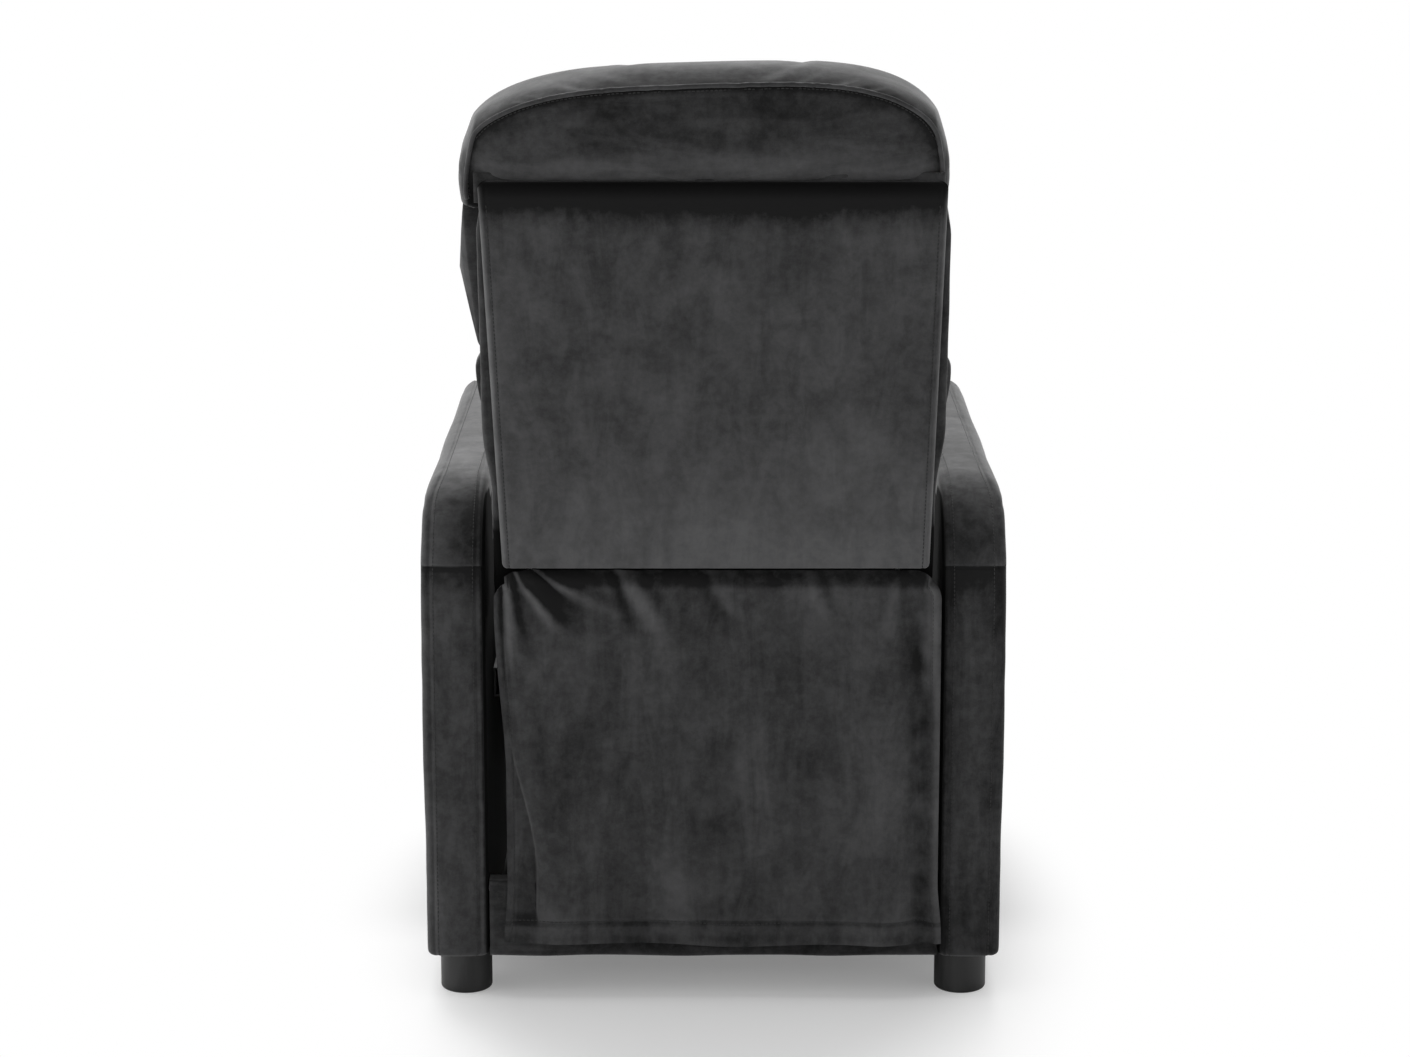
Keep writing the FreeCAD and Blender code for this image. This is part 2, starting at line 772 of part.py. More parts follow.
for screw_z in (flange_low + 12.0, flange_low + 46.0):
    at = V(screw_x, board_face - screw_length, screw_z)
    shank = Part.makeCylinder(screw_radius, screw_length + plate_thickness, at, V(0, 1, 0))
    head_at = V(screw_x, board_face + plate_thickness, screw_z)
    head = Part.makeCylinder(5.0, 2.5, head_at, V(0, 1, 0))
    footrest_screws.append(shank.fuse(head).removeSplitter())
    hole_at = V(screw_x, board_face - screw_length - fit, screw_z)
    hole = Part.makeCylinder(screw_radius + fit, screw_length + plate_thickness + 1.0, hole_at, V(0, 1, 0))
    bracket_arm = bracket_arm.cut(hole)
    board = cut_all(board, [hole, mirrored(hole)])
save_pair("footrest_bracket", [bracket_arm])
save("footrest_board", board)
save("footrest_screws", *both_sides(footrest_screws))

pad_back = board_face - board_thickness - soft_gap
pad_front = board_face - board_thickness - pad_thickness
pad_middle = (pad_bottom + pad_top) / 2
pad_profile = side_solid(
    (pad_back, pad_bottom + 6.0),
    [
        (pad_back, pad_top - 6.0),
        ("arc", (pad_back - 26.0, pad_top), (pad_front + 9.0, pad_top - 16.0)),
        ("arc", (pad_front, pad_middle), (pad_front + 9.0, pad_bottom + 16.0)),
        ("arc", (pad_back - 26.0, pad_bottom), (pad_back, pad_bottom + 6.0)),
    ],
    -half_width,
    half_width,
)
pad_plan = plan_solid(
    (-pad_half_width + 6.0, pad_back + 1.0),
    [
        ("arc", (-pad_half_width, pad_back - 22.0), (-pad_half_width + 14.0, pad_front + 8.0)),
        ("arc", (0, pad_front - 2.0), (pad_half_width - 14.0, pad_front + 8.0)),
        ("arc", (pad_half_width, pad_back - 22.0), (pad_half_width - 6.0, pad_back + 1.0)),
        (-pad_half_width + 6.0, pad_back + 1.0),
    ],
    pad_bottom - 10.0,
    pad_top + 10.0,
)
save("footrest_pad", pad_profile.common(pad_plan))


# Back: built upright, y and z measured from the hinge, and then leaned as one.
def leaned(shape):
    shape = shape.copy()
    shape.rotate(V(0, hinge_y, hinge_height), V(1, 0, 0), -lean)
    return shape


def at_hinge(point):
    return (hinge_y + point[0], hinge_height + point[1])


def back_block(x0, x1, y0, y1, z0, z1):
    return block(x0, x1, hinge_y + y0, hinge_y + y1, hinge_height + z0, hinge_height + z1)


def back_steps(steps):
    placed = []
    for step in steps:
        if step[0] == "arc":
            placed.append(("arc", at_hinge(step[1]), at_hinge(step[2])))
        else:
            placed.append(at_hinge(step))
    return placed


def back_profile(start, steps):
    return side_solid(at_hinge(start), back_steps(steps), -half_width, half_width)


def back_front(start, steps):
    raised = []
    for step in steps:
        if step[0] == "arc":
            raised.append(("arc", rise(step[1]), rise(step[2])))
        else:
            raised.append(rise(step))
    return front_solid(rise(start), raised, hinge_y - 200.0, hinge_y + 200.0)


def rise(point):
    return (point[0], hinge_height + point[1])


stile_outer = stile_inner + stile_width
stile = back_block(stile_inner, stile_outer, 0, stile_depth, stile_bottom, stile_top)
back_bracket = fuse_all(
    [
        flat_bar(hinge, at_hinge((20.0, 72.0)), 15.0, bracket_inner, bracket_outer),
        back_block(bracket_inner, bracket_outer, 2.0, 34.0, 60.0, 190.0),
    ]
)
back_bracket = back_bracket.cut(pin_hole(hinge, hinge_pin_radius, bracket_inner))
back_bolts = []
for bolt_z in (95.0, 165.0):
    bolt_at = at_hinge((stile_depth / 2, bolt_z))
    bolt_end = stile_outer - 5.0
    shank = rod(bolt_radius, bracket_inner, bolt_end, bolt_at[0], bolt_at[1])
    head = rod(bolt_head_radius, bracket_inner - 4.0, bracket_inner, bolt_at[0], bolt_at[1])
    back_bolts.append(shank.fuse(head).removeSplitter())
    hole = rod(bolt_radius + fit, bracket_inner - 1.0, bolt_end + fit, bolt_at[0], bolt_at[1])
    back_bracket = back_bracket.cut(hole)
    stile = stile.cut(hole)
save_pair("back_stile", [leaned(stile)])
save_pair("back_bracket", [leaned(back_bracket)])
save("back_bolts", *[leaned(b) for b in both_sides(back_bolts)])

# The lowest rail stands above the brackets, so that it clears them.
rail_front = 7.0
rail_back = 29.0
back_rails = {
    "back_bottom_rail": panel_bottom + 84.0,
    "back_middle_rail": pad_joint_lower + 20.0,
    "back_top_rail": stile_top - back_rail_height,
}
for name, rail_low in back_rails.items():
    rail_high = rail_low + back_rail_height
    rail = back_block(-stile_inner, stile_inner, rail_front, rail_back, rail_low, rail_high)
    save(name, leaned(rail))

strap_height = 50.0
strap_lows = [120.0, 215.0, 310.0, 405.0, 490.0]
straps = []
for strap_low in strap_lows:
    strap = back_block(
        -stile_outer + 4.0, stile_outer - 4.0, -webbing_thickness, 0, strap_low, strap_low + strap_height
    )
    straps.append(leaned(strap))
save("back_webbing", *straps)

panel_corner = 14.0
panel_front = stile_depth
panel_rear = panel_front + panel_thickness
panel_wire = outline(
    rise((-panel_half_bottom, panel_bottom)),
    [
        rise((-panel_half_top, panel_top - panel_corner)),
        (
            "arc",
            rise((-panel_half_top + 4.0, panel_top - 4.0)),
            rise((-panel_half_top + panel_corner, panel_top)),
        ),
        rise((panel_half_top - panel_corner, panel_top)),
        (
            "arc",
            rise((panel_half_top - 4.0, panel_top - 4.0)),
            rise((panel_half_top, panel_top - panel_corner)),
        ),
        rise((panel_half_bottom, panel_bottom)),
        rise((-panel_half_bottom, panel_bottom)),
    ],
    lambda p: V(p[0], hinge_y + panel_front, p[1]),
)
panel = Part.Face(panel_wire).extrude(V(0, panel_thickness, 0))
rear_edges = [e for e in panel.Edges if e.BoundBox.YMin > hinge_y + panel_rear - 0.1]
panel = panel.makeFillet(7.0, rear_edges)
save("back_panel", leaned(panel))

# Three pads across the front; the uppermost rolls over the top of the back.
pad_rear = -webbing_thickness - soft_gap
head_low = pad_joint_upper + 1.5
over_frame = stile_top + 1.0
head_rear = 40.0
head_profile = back_profile(
    (head_rear, over_frame),
    [
        (head_rear, head_top - 60.0),
        ("arc", (head_rear - 5.0, head_top - 28.0), (head_rear - 22.0, head_top - 7.0)),
        ("arc", (-26.0, head_top), (-70.0, head_top - 16.0)),
        ("arc", (-98.0, head_low + 66.0), (-76.0, head_low + 10.0)),
        ("arc", (-40.0, head_low), (pad_rear, head_low + 3.0)),
        (pad_rear, over_frame),
        (head_rear, over_frame),
    ],
)
head_front = back_front(
    (-head_half_width + 8.0, head_low - 5.0),
    [
        ("arc", (-head_half_width, head_low + 36.0), (-head_half_width + 4.0, head_low + 82.0)),
        ("arc", (-head_half_width + 24.0, head_top - 22.0), (-head_half_width + 100.0, head_top - 5.0)),
        ("arc", (0, head_top + 1.0), (head_half_width - 100.0, head_top - 5.0)),
        ("arc", (head_half_width - 24.0, head_top - 22.0), (head_half_width - 4.0, head_low + 82.0)),
        ("arc", (head_half_width, head_low + 36.0), (head_half_width - 8.0, head_low - 5.0)),
        (-head_half_width + 8.0, head_low - 5.0),
    ],
)
save("head_pad", leaned(head_profile.common(head_front)))


# A bolster: flat at the back, bulging forward, with its top and bottom drawn in to the sewn channels.
def bolster(low, high, depth):
    return back_profile(
        (pad_rear, low + 3.0),
        [
            (pad_rear, high - 3.0),
            ("arc", (-45.0, high), (-depth + 22.0, high - 13.0)),
            ("arc", (-depth, (low + high) / 2), (-depth + 22.0, low + 13.0)),
            ("arc", (-45.0, low), (pad_rear, low + 3.0)),
        ],
    )


def sides(low, high, half_low, half_high):
    middle = (low + high) / 2
    half_middle = (half_low + half_high) / 2 + 2.0
    return back_front(
        (-half_low, low - 2.0),
        [
            ("arc", (-half_middle, middle), (-half_high, high + 2.0)),
            (half_high, high + 2.0),
            ("arc", (half_middle, middle), (half_low, low - 2.0)),
            (-half_low, low - 2.0),
        ],
    )


middle_low = pad_joint_lower + 1.5
middle_high = pad_joint_upper - 1.5
middle_sides = sides(middle_low, middle_high, head_half_width - 5.0, head_half_width - 4.0)
save("middle_pad", leaned(bolster(middle_low, middle_high, 104.0).common(middle_sides)))
lumbar_high = pad_joint_lower - 1.5
lumbar_taper = (arm_top + lumbar_over_arm - hinge_height) / math.cos(math.radians(lean))
lumbar_bulge = lumbar_half_width + 6.0
lumbar_half_top = head_half_width - 6.0
lumbar_sides = back_front(
    (-lumbar_half_width, lumbar_bottom - 2.0),
    [
        (-lumbar_half_width, lumbar_taper),
        ("arc", (-lumbar_bulge, lumbar_taper + 70.0), (-lumbar_half_top, lumbar_high + 2.0)),
        (lumbar_half_top, lumbar_high + 2.0),
        ("arc", (lumbar_bulge, lumbar_taper + 70.0), (lumbar_half_width, lumbar_taper)),
        (lumbar_half_width, lumbar_bottom - 2.0),
        (-lumbar_half_width, lumbar_bottom - 2.0),
    ],
)
save("lumbar_pad", leaned(bolster(lumbar_bottom, lumbar_high, 112.0).common(lumbar_sides)))


# Rear flap: a hanging sheet, nearly flat at the top and folded towards its hem.
def flap_section(z, depth):
    inner = rear_rail_back + soft_gap + flap_fold_depths[0]
    outer = inner + flap_thickness
    step = 2 * flap_half_width / flap_folds
    edges = []
    outer_points = []
    for i in range(flap_folds):
        x0 = -flap_half_width + i * step
        sign = 1 if i % 2 else -1
        a = V(x0, inner, z)
        b = V(x0 + step / 2, inner + sign * depth, z)
        c = V(x0 + step, inner, z)
        edges.append(Part.Arc(a, b, c).toShape())
        outer_points.append((x0, sign))
    edges.append(Part.makeLine(V(flap_half_width, inner, z), V(flap_half_width, outer, z)))
    for x0, sign in reversed(outer_points):
        a = V(x0 + step, outer, z)
        b = V(x0 + step / 2, outer + sign * depth, z)
        c = V(x0, outer, z)
        edges.append(Part.Arc(a, b, c).toShape())
    edges.append(Part.makeLine(V(-flap_half_width, outer, z), V(-flap_half_width, inner, z)))
    return Part.Wire(edges)


flap_levels = [flap_bottom, (flap_bottom + flap_top) / 2, flap_top]
flap_wires = [flap_section(z, depth) for z, depth in zip(flap_levels, flap_fold_depths)]
save("rear_flap", Part.makeLoft(flap_wires, True, True))
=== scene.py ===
import json
import math

import bmesh
import bpy
import numpy as np
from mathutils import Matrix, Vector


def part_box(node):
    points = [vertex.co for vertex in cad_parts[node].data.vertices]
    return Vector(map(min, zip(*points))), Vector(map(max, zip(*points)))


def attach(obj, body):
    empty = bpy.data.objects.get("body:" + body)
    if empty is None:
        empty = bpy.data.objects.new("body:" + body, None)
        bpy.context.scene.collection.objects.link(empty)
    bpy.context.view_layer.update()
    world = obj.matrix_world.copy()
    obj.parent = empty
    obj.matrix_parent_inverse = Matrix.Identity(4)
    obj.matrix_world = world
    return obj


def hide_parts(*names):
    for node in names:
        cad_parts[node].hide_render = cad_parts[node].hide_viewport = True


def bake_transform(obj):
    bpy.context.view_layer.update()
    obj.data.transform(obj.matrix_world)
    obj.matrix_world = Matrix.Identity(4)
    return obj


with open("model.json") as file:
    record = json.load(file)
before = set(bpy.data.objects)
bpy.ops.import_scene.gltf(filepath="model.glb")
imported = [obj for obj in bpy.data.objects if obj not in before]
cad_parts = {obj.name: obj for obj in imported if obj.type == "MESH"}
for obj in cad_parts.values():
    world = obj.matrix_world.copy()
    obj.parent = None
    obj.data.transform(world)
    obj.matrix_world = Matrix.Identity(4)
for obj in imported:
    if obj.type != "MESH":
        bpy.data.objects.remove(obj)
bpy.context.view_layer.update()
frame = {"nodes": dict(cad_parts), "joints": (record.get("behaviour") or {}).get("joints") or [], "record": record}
scene = bpy.context.scene
joints = {joint["name"]: joint for joint in frame["joints"]}
sideNames = {1: "left", -1: "right"}
print("frame loaded:", len(frame["nodes"]), "nodes")


class Wire:
    # an output socket; arithmetic between wires and numbers adds Math nodes
    def __init__(self, shade, socket):
        self.shade = shade
        self.socket = socket

    def math(self, operation, first, second):
        return self.shade.add("ShaderNodeMath", {"operation": operation}, {0: first, 1: second})

    def __add__(self, other):
        return self.math("ADD", self, other)

    def __radd__(self, other):
        return self.math("ADD", other, self)

    def __sub__(self, other):
        return self.math("SUBTRACT", self, other)

    def __rsub__(self, other):
        return self.math("SUBTRACT", other, self)

    def __mul__(self, other):
        return self.math("MULTIPLY", self, other)

    def __rmul__(self, other):
        return self.math("MULTIPLY", other, self)

    def fit(self, low, high, toLow=0.0, toHigh=1.0):
        ends = {"From Min": low, "From Max": high, "To Min": toLow, "To Max": toHigh}
        smooth = {"interpolation_type": "SMOOTHSTEP"}
        return self.shade.add("ShaderNodeMapRange", smooth, {"Value": self, **ends})


class Shade:
    # a node tree under construction
    def __init__(self, owner):
        owner.use_nodes = True
        self.tree = owner.node_tree
        self.tree.nodes.clear()

    def add(self, kind, settings, sockets, out=0):
        node = self.tree.nodes.new(kind)
        for key, value in settings.items():
            setattr(node, key, value)
        for key, value in sockets.items():
            if isinstance(value, Wire):
                self.tree.links.new(value.socket, node.inputs[key])
            else:
                node.inputs[key].default_value = value
        return Wire(self, node.outputs[out]) if node.outputs else None

    def place(self, scale=(1.0, 1.0, 1.0)):
        here = self.add("ShaderNodeTexCoord", {}, {}, "Object")
        return self.add("ShaderNodeMapping", {}, {"Vector": here, "Scale": scale})

    def noise(self, place, scale, detail=2.0, rough=0.5, twist=0.0):
        sockets = {"Vector": place, "Scale": scale, "Detail": detail}
        sockets.update({"Roughness": rough, "Distortion": twist})
        return self.add("ShaderNodeTexNoise", {}, sockets)

    def weave(self, direction, scale):
        sockets = {"Vector": self.place(), "Scale": scale}
        return self.add("ShaderNodeTexWave", {"bands_direction": direction}, sockets)

    def blendColours(self, factor, first, second):
        # sockets 6 and 7 are the two colours
        return self.add("ShaderNodeMix", {"data_type": "RGBA"}, {0: factor, 6: first, 7: second}, 2)

    def bump(self, height, strength, distance):
        sockets = {"Height": height, "Strength": strength, "Distance": distance}
        return self.add("ShaderNodeBump", {}, sockets)

    def mixShaders(self, factor, first, second):
        return self.add("ShaderNodeMixShader", {}, {0: factor, 1: first, 2: second})

    def principled(self, **sockets):
        named = {key.replace("_", " "): value for key, value in sockets.items()}
        return self.add("ShaderNodeBsdfPrincipled", {}, named)

    def surface(self, **sockets):
        self.add("ShaderNodeOutputMaterial", {}, {"Surface": self.principled(**sockets)})


def newMaterial(name):
    material = bpy.data.materials.new(name)
    return material, Shade(material)


def grey(value):
    return (value, value, value, 1.0)


# short-pile charcoal velvet: cloudy crushed pile, brushed streaks and a fine grain
velvet = {
    "dark": 0.006,
    "light": 0.115,
    "shadowLining": 0.003,
    "sheen": 0.30,
    "sheenRough": 0.40,
    "clouds": 11.0,
    "mottle": 95.0,
    "grain": 1100.0,
    "cloudShare": 0.24,
    "brushShare": 0.22,
    "mottleShare": 0.14,
    "grainShare": 0.22,
    # painted shade by slope, and the value that paints black lining as deep shade
    "slopeShadeAside": 0.16,
    "slopeShadeUp": 0.30,
    "shadowLined": -1.6,
}


def velvetFinish(name, streak):
    material, shade = newMaterial(name)
    clouds = shade.noise(shade.place(), velvet["clouds"], 4.0, 0.62, 0.6)
    brushed = shade.noise(shade.place(streak), 1.0, 4.0, 0.6, 0.8)
    mottle = shade.noise(shade.place(), velvet["mottle"], 3.0, 0.65)
    grain = shade.noise(shade.place(), velvet["grain"], 2.0, 0.6)
    # per-point shift of the pile's colour: painted light and shade on each piece, with some real patchy pile tone
    napAndShade = shade.add("ShaderNodeAttribute", {"attribute_name": "napAndShade"}, {}, "Fac")
    pile = clouds.fit(0.28, 0.74) * velvet["cloudShare"] + brushed.fit(0.3, 0.72) * velvet["brushShare"]
    pile = pile + mottle.fit(0.3, 0.7) * velvet["mottleShare"]
    pile = pile + napAndShade + (grain - 0.5) * velvet["grainShare"]
    mask = shade.add("ShaderNodeClamp", {}, {"Value": pile})
    dark, light = velvet["dark"], velvet["light"]
    colour = shade.blendColours(mask, (dark, dark, dark * 1.03, 1.0), (light, light, light * 1.02, 1.0))
    pileSide = shade.principled(
        Base_Color=colour,
        Roughness=mask.fit(0.0, 1.0, 0.92, 0.72),
        Normal=shade.bump(grain * 0.5 + mottle * 0.5, 0.35, 0.0006),
        Specular_IOR_Level=0.25,
        Sheen_Weight=velvet["sheen"],
        Sheen_Roughness=velvet["sheenRough"],
        Sheen_Tint=grey(0.9),
    )
    # painted shade: where the per-point value is below -1 the cloth turns to plain black lining, which stands in
    # for deep shade in gaps
    shadowLining = shade.principled(Base_Color=grey(velvet["shadowLining"]), Roughness=0.95, Specular_IOR_Level=0.1)
    both = shade.mixShaders(napAndShade.fit(-1.0, -0.6, 1.0, 0.0), pileSide, shadowLining)
    shade.add("ShaderNodeOutputMaterial", {}, {"Surface": both})
    return material


def threadFinish():
    material, shade = newMaterial("sewing_thread")
    twist = shade.noise(shade.place(), 1600.0, 2.0)
    colour = shade.blendColours(twist, grey(0.004), grey(0.012))
    shade.surface(Base_Color=colour, Roughness=0.6, Normal=shade.bump(twist, 0.3, 0.0002))
    return material


def plasticFinish(name, dark, light, rough):
    material, shade = newMaterial(name)
    skin = shade.noise(shade.place(), 900.0, 2.0)
    scuffs = shade.noise(shade.place((60.0, 60.0, 9.0)), 1.0, 4.0, 0.6, 0.5)
    colour = shade.blendColours(scuffs.fit(0.3, 0.75), dark, light)
    roughness = scuffs.fit(0.3, 0.75, rough, rough + 0.14)
    shade.surface(Base_Color=colour, Roughness=roughness, Normal=shade.bump(skin, 0.12, 0.0003))
    return material


def timberFinish():
    material, shade = newMaterial("sawn_softwood")
    rings = shade.noise(shade.place((30.0, 3.0, 30.0)), 1.6, 5.0, 0.6, 1.4)
    fibre = shade.noise(shade.place((700.0, 25.0, 700.0)), 1.0, 3.0)
    mask = rings.fit(0.32, 0.7) * 0.75 + fibre * 0.25
    colour = shade.blendColours(mask, (0.34, 0.20, 0.095, 1.0), (0.58, 0.41, 0.22, 1.0))
    roughness = mask.fit(0.0, 1.0, 0.82, 0.62)
    normal = shade.bump(fibre * 0.6 + rings * 0.4, 0.3, 0.0006)
    shade.surface(Base_Color=colour, Roughness=roughness, Normal=normal)
    return material


def steelFinish(name, dark, light, metallic, rough):
    material, shade = newMaterial(name)
    drawn = shade.noise(shade.place((420.0, 40.0, 420.0)), 1.0, 3.0, 0.6)
    stain = shade.noise(shade.place(), 60.0, 4.0, 0.6)
    mask = drawn.fit(0.3, 0.7) * 0.5 + stain.fit(0.35, 0.7) * 0.5
    colour = shade.blendColours(mask, dark, light)
    roughness = mask.fit(0.0, 1.0, rough + 0.12, rough)
    normal = shade.bump(drawn, 0.15, 0.0003)
    shade.surface(Base_Color=colour, Metallic=metallic, Roughness=roughness, Normal=normal)
    return material


def webbingFinish():
    material, shade = newMaterial("woven_webbing")
    weave = shade.weave("Z", 110.0) * 0.5 + shade.weave("X", 150.0) * 0.5
    fuzz = shade.noise(shade.place(), 700.0, 2.0)
    mask = weave * 0.7 + fuzz * 0.3
    colour = shade.blendColours(mask, (0.045, 0.042, 0.038, 1.0), (0.16, 0.15, 0.13, 1.0))
    roughness = fuzz.fit(0.2, 0.8, 0.75, 0.95)
    shade.surface(Base_Color=colour, Roughness=roughness, Normal=shade.bump(weave, 0.6, 0.0008))
    return material


finishes = {
    "upright": velvetFinish("velvet_upright", (34.0, 34.0, 7.0)),
    "across": velvetFinish("velvet_across", (7.0, 26.0, 34.0)),
    "thread": threadFinish(),
}
slotFinishes = {
    "foot_plastic": plasticFinish("satin_foot", grey(0.012), grey(0.026), 0.34),
    "timber": timberFinish(),
    "painted_steel": steelFinish("black_enamel", grey(0.012), grey(0.030), 0.0, 0.36),
    "zinc_steel": steelFinish("zinc_plate", grey(0.38), grey(0.62), 1.0, 0.30),
    "spring_steel": steelFinish("oiled_wire", grey(0.12), grey(0.26), 1.0, 0.34),
    "webbing": webbingFinish(),
    "roller_nylon": plasticFinish("nylon", (0.62, 0.60, 0.55, 1.0), (0.74, 0.72, 0.67, 1.0), 0.45),
}
for subpart in frame["record"]["subparts"]:
    node = frame["nodes"][subpart["node"]]
    finish = slotFinishes.get(subpart["material_slot"], finishes["upright"])
    node.data.materials.clear()
    node.data.materials.append(finish)
print("finishes made")


def asPlaced(x, y, z):
    return np.stack(np.broadcast_arrays(x, y, z), -1)


def unit(vectors):
    return vectors / np.maximum(np.linalg.norm(vectors, axis=-1, keepdims=True), 1e-12)


# A rise from 0 to 1 as value goes from low to high, level at both ends.
def ease(value, low, high):
    share = np.clip((value - low) / (high - low), 0.0, 1.0)
    return share * share * (3.0 - 2.0 * share)


# A bump that falls from 1 to 0 on both sides: e to the minus square of distance over width.
def bell(distance, width):
    return np.exp(-((distance / width) ** 2))


# The mean of seven plane waves in seeded directions, of about the wavelength given: soft unevenness.
def waves(points, size, seed):
    dice = np.random.default_rng(seed)
    direction = unit(dice.normal(size=(7, 3)))
    pace = 2 * np.pi / (size * dice.uniform(0.6, 1.6, 7))
    phase = dice.uniform(0, 2 * np.pi, 7)
    return np.sin(points @ (direction * pace[:, None]).T + phase).mean(-1) * 1.6


# Parameters from 0 to 1 that crowd towards both ends.
def crowded(count, power):
    even = np.linspace(-1, 1, count)
    return 0.5 + 0.5 * np.sign(even) * (1 - (1 - np.abs(even)) ** power)


# The two upper corners of an outline turn from square to round: each point is drawn in along its ray.
def roundCorners(x, z, left, right, top, corner):
    centre = (left + right) / 2
    lean = np.maximum(np.abs(x - centre) - ((left - right) / 2 - corner), 0)
    rise = np.maximum(z - (top - corner), 0)
    pull = np.maximum(lean, rise) / np.maximum(np.hypot(lean, rise), 1e-9)
    both = (lean > 0) & (rise > 0)
    roundX = np.where(both, x - np.sign(x - centre) * lean * (1 - pull), x)
    return roundX, np.where(both, z - rise * (1 - pull), z)


# Rows and columns of points become quads; wrap joins the last column to the first.
def gridQuads(rows, cols, wrap=False, start=0):
    row = np.arange(rows - 1)[:, None]
    col = np.arange(cols if wrap else cols - 1)[None, :]
    after = (col + 1) % cols
    corners = [row * cols + col, row * cols + after, (row + 1) * cols + after, (row + 1) * cols + col]
    return start + np.stack(np.broadcast_arrays(*corners), -1).reshape(-1, 4)


# Rings of points become a tube with a face over each end.
def tubeFaces(rows, sides):
    ends = [list(range(sides)), [(rows - 1) * sides + k for k in range(sides)]]
    return gridQuads(rows, sides, wrap=True).tolist() + ends


# A mesh of points and faces; with tidy, points closer than merge become one and faces turn outwards.
def newPiece(name, points, faces, merge=0.0, tidy=True):
    mesh = bpy.data.meshes.new(name)
    mesh.from_pydata(np.asarray(points).reshape(-1, 3).tolist(), [], [list(face) for face in faces])
    if tidy:
        work = bmesh.new()
        work.from_mesh(mesh)
        if merge:
            bmesh.ops.remove_doubles(work, verts=work.verts, dist=merge)
        bmesh.ops.recalc_face_normals(work, faces=work.faces)
        work.to_mesh(mesh)
        work.free()
    mesh.shade_smooth()
    piece = bpy.data.objects.new(name, mesh)
    scene.collection.objects.link(piece)
    return piece


def pointsOf(piece):
    flat = np.zeros(len(piece.data.vertices) * 3)
    piece.data.vertices.foreach_get("co", flat)
    return flat.reshape(-1, 3)


def setPoints(piece, points):
    piece.data.vertices.foreach_set("co", points.astype(np.float32).ravel())
    piece.data.update()


def dress(piece, cloth, body):
    piece.data.materials.append(finishes[cloth])
    if body:
        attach(piece, body)
    return piece


# Painted shade by slope: on rear-facing parts, points whose normals tilt up are painted darker and those facing +x
# lighter, as if lit from that side; extra adds each piece's own painted light and shade.
def paintShade(piece, extra=0.0):
    flat = np.zeros(len(piece.data.vertices) * 3, np.float32)
    piece.data.vertex_normals.foreach_get("vector", flat)
    x, y, z = flat.reshape(-1, 3).T
    upward = velvet["slopeShadeUp"] * z * (1 - ease(z, 0.75, 1.0))
    slope = (velvet["slopeShadeAside"] * x - upward) * ease(y, 0.0, 0.4)
    napAndShade = np.broadcast_to(slope + extra, x.shape)
    piece.data.attributes.new("napAndShade", "FLOAT", "POINT").data.foreach_set("value", napAndShade.astype(np.float32))


# A padded cover: its cloth, the body it rides on, the solid it stands for and its painted light and shade.
def padCover(piece, cloth, body, node, napAndShade=0.0):
    dress(piece, cloth, body)
    paintShade(piece, napAndShade)
    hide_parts(node)


def softer(piece):
    modifier = piece.modifiers.new("softer", "SUBSURF")
    modifier.levels = 1
    modifier.render_levels = 1


# Evenly spaced points along a line of points, with the normals carried along.
def evenly(path, normals, pitch):
    run = np.concatenate([[0.0], np.cumsum(np.linalg.norm(np.diff(path, axis=0), axis=1))])
    count = max(int(run[-1] / pitch), 2)
    at = (np.arange(count) + 0.5) * run[-1] / count
    spaced = np.stack([np.interp(at, run, path[:, k]) for k in range(3)], -1)
    facing = unit(np.stack([np.interp(at, run, normals[:, k]) for k in range(3)], -1))
    return spaced, facing, unit(np.gradient(spaced, axis=0))


stitch = {"pitch": 0.0046, "length": 0.0034, "radius": 0.00055, "sides": 6}


# One spindle per stitch: rings of points at four stations along the thread, half sunk in the cloth.
def stitchRow(name, path, normals, body):
    middle, facing, along = evenly(path, normals, stitch["pitch"])
    across = np.cross(along, facing)
    station = np.array([-0.5, -0.28, 0.28, 0.5]) * stitch["length"]
    girth = np.array([0.25, 1.0, 1.0, 0.25]) * stitch["radius"]
    angle = np.arange(stitch["sides"]) * 2 * np.pi / stitch["sides"]
    ring = np.cos(angle)[:, None, None] * across + np.sin(angle)[:, None, None] * facing
    points = middle + along * station[:, None, None, None] + ring * girth[:, None, None, None]
    points = points.transpose(2, 0, 1, 3)
    count, stations, sides = points.shape[:3]
    one = tubeFaces(stations, sides)
    size = stations * sides
    faces = [[corner + size * i for corner in face] for i in range(count) for face in one]
    return dress(newPiece(name, points, faces), "thread", body)


# A round cord of the given radius carried along a path: circles square to it, closed at both ends.
def weltTube(name, path, normals, radius, cloth, body, sides=10):
    spaced, facing, along = evenly(path, normals, radius * 1.6)
    across = np.cross(along, facing)
    angle = np.arange(sides) * 2 * np.pi / sides
    ring = np.cos(angle)[None, :, None] * across[:, None] + np.sin(angle)[None, :, None] * facing[:, None]
    points = spaced[:, None] + radius * ring
    return dress(newPiece(name, points, tubeFaces(len(spaced), sides)), cloth, body)


# cloth settings for the swelled covers
swell = {
    "pressure": 4.0,
    "slack": 0.02,
    "frames": 20,
    "quality": 5,
    "mass": 0.3,
    "stretch": 15.0,
    "shear": 5.0,
    "bend": 0.4,
}


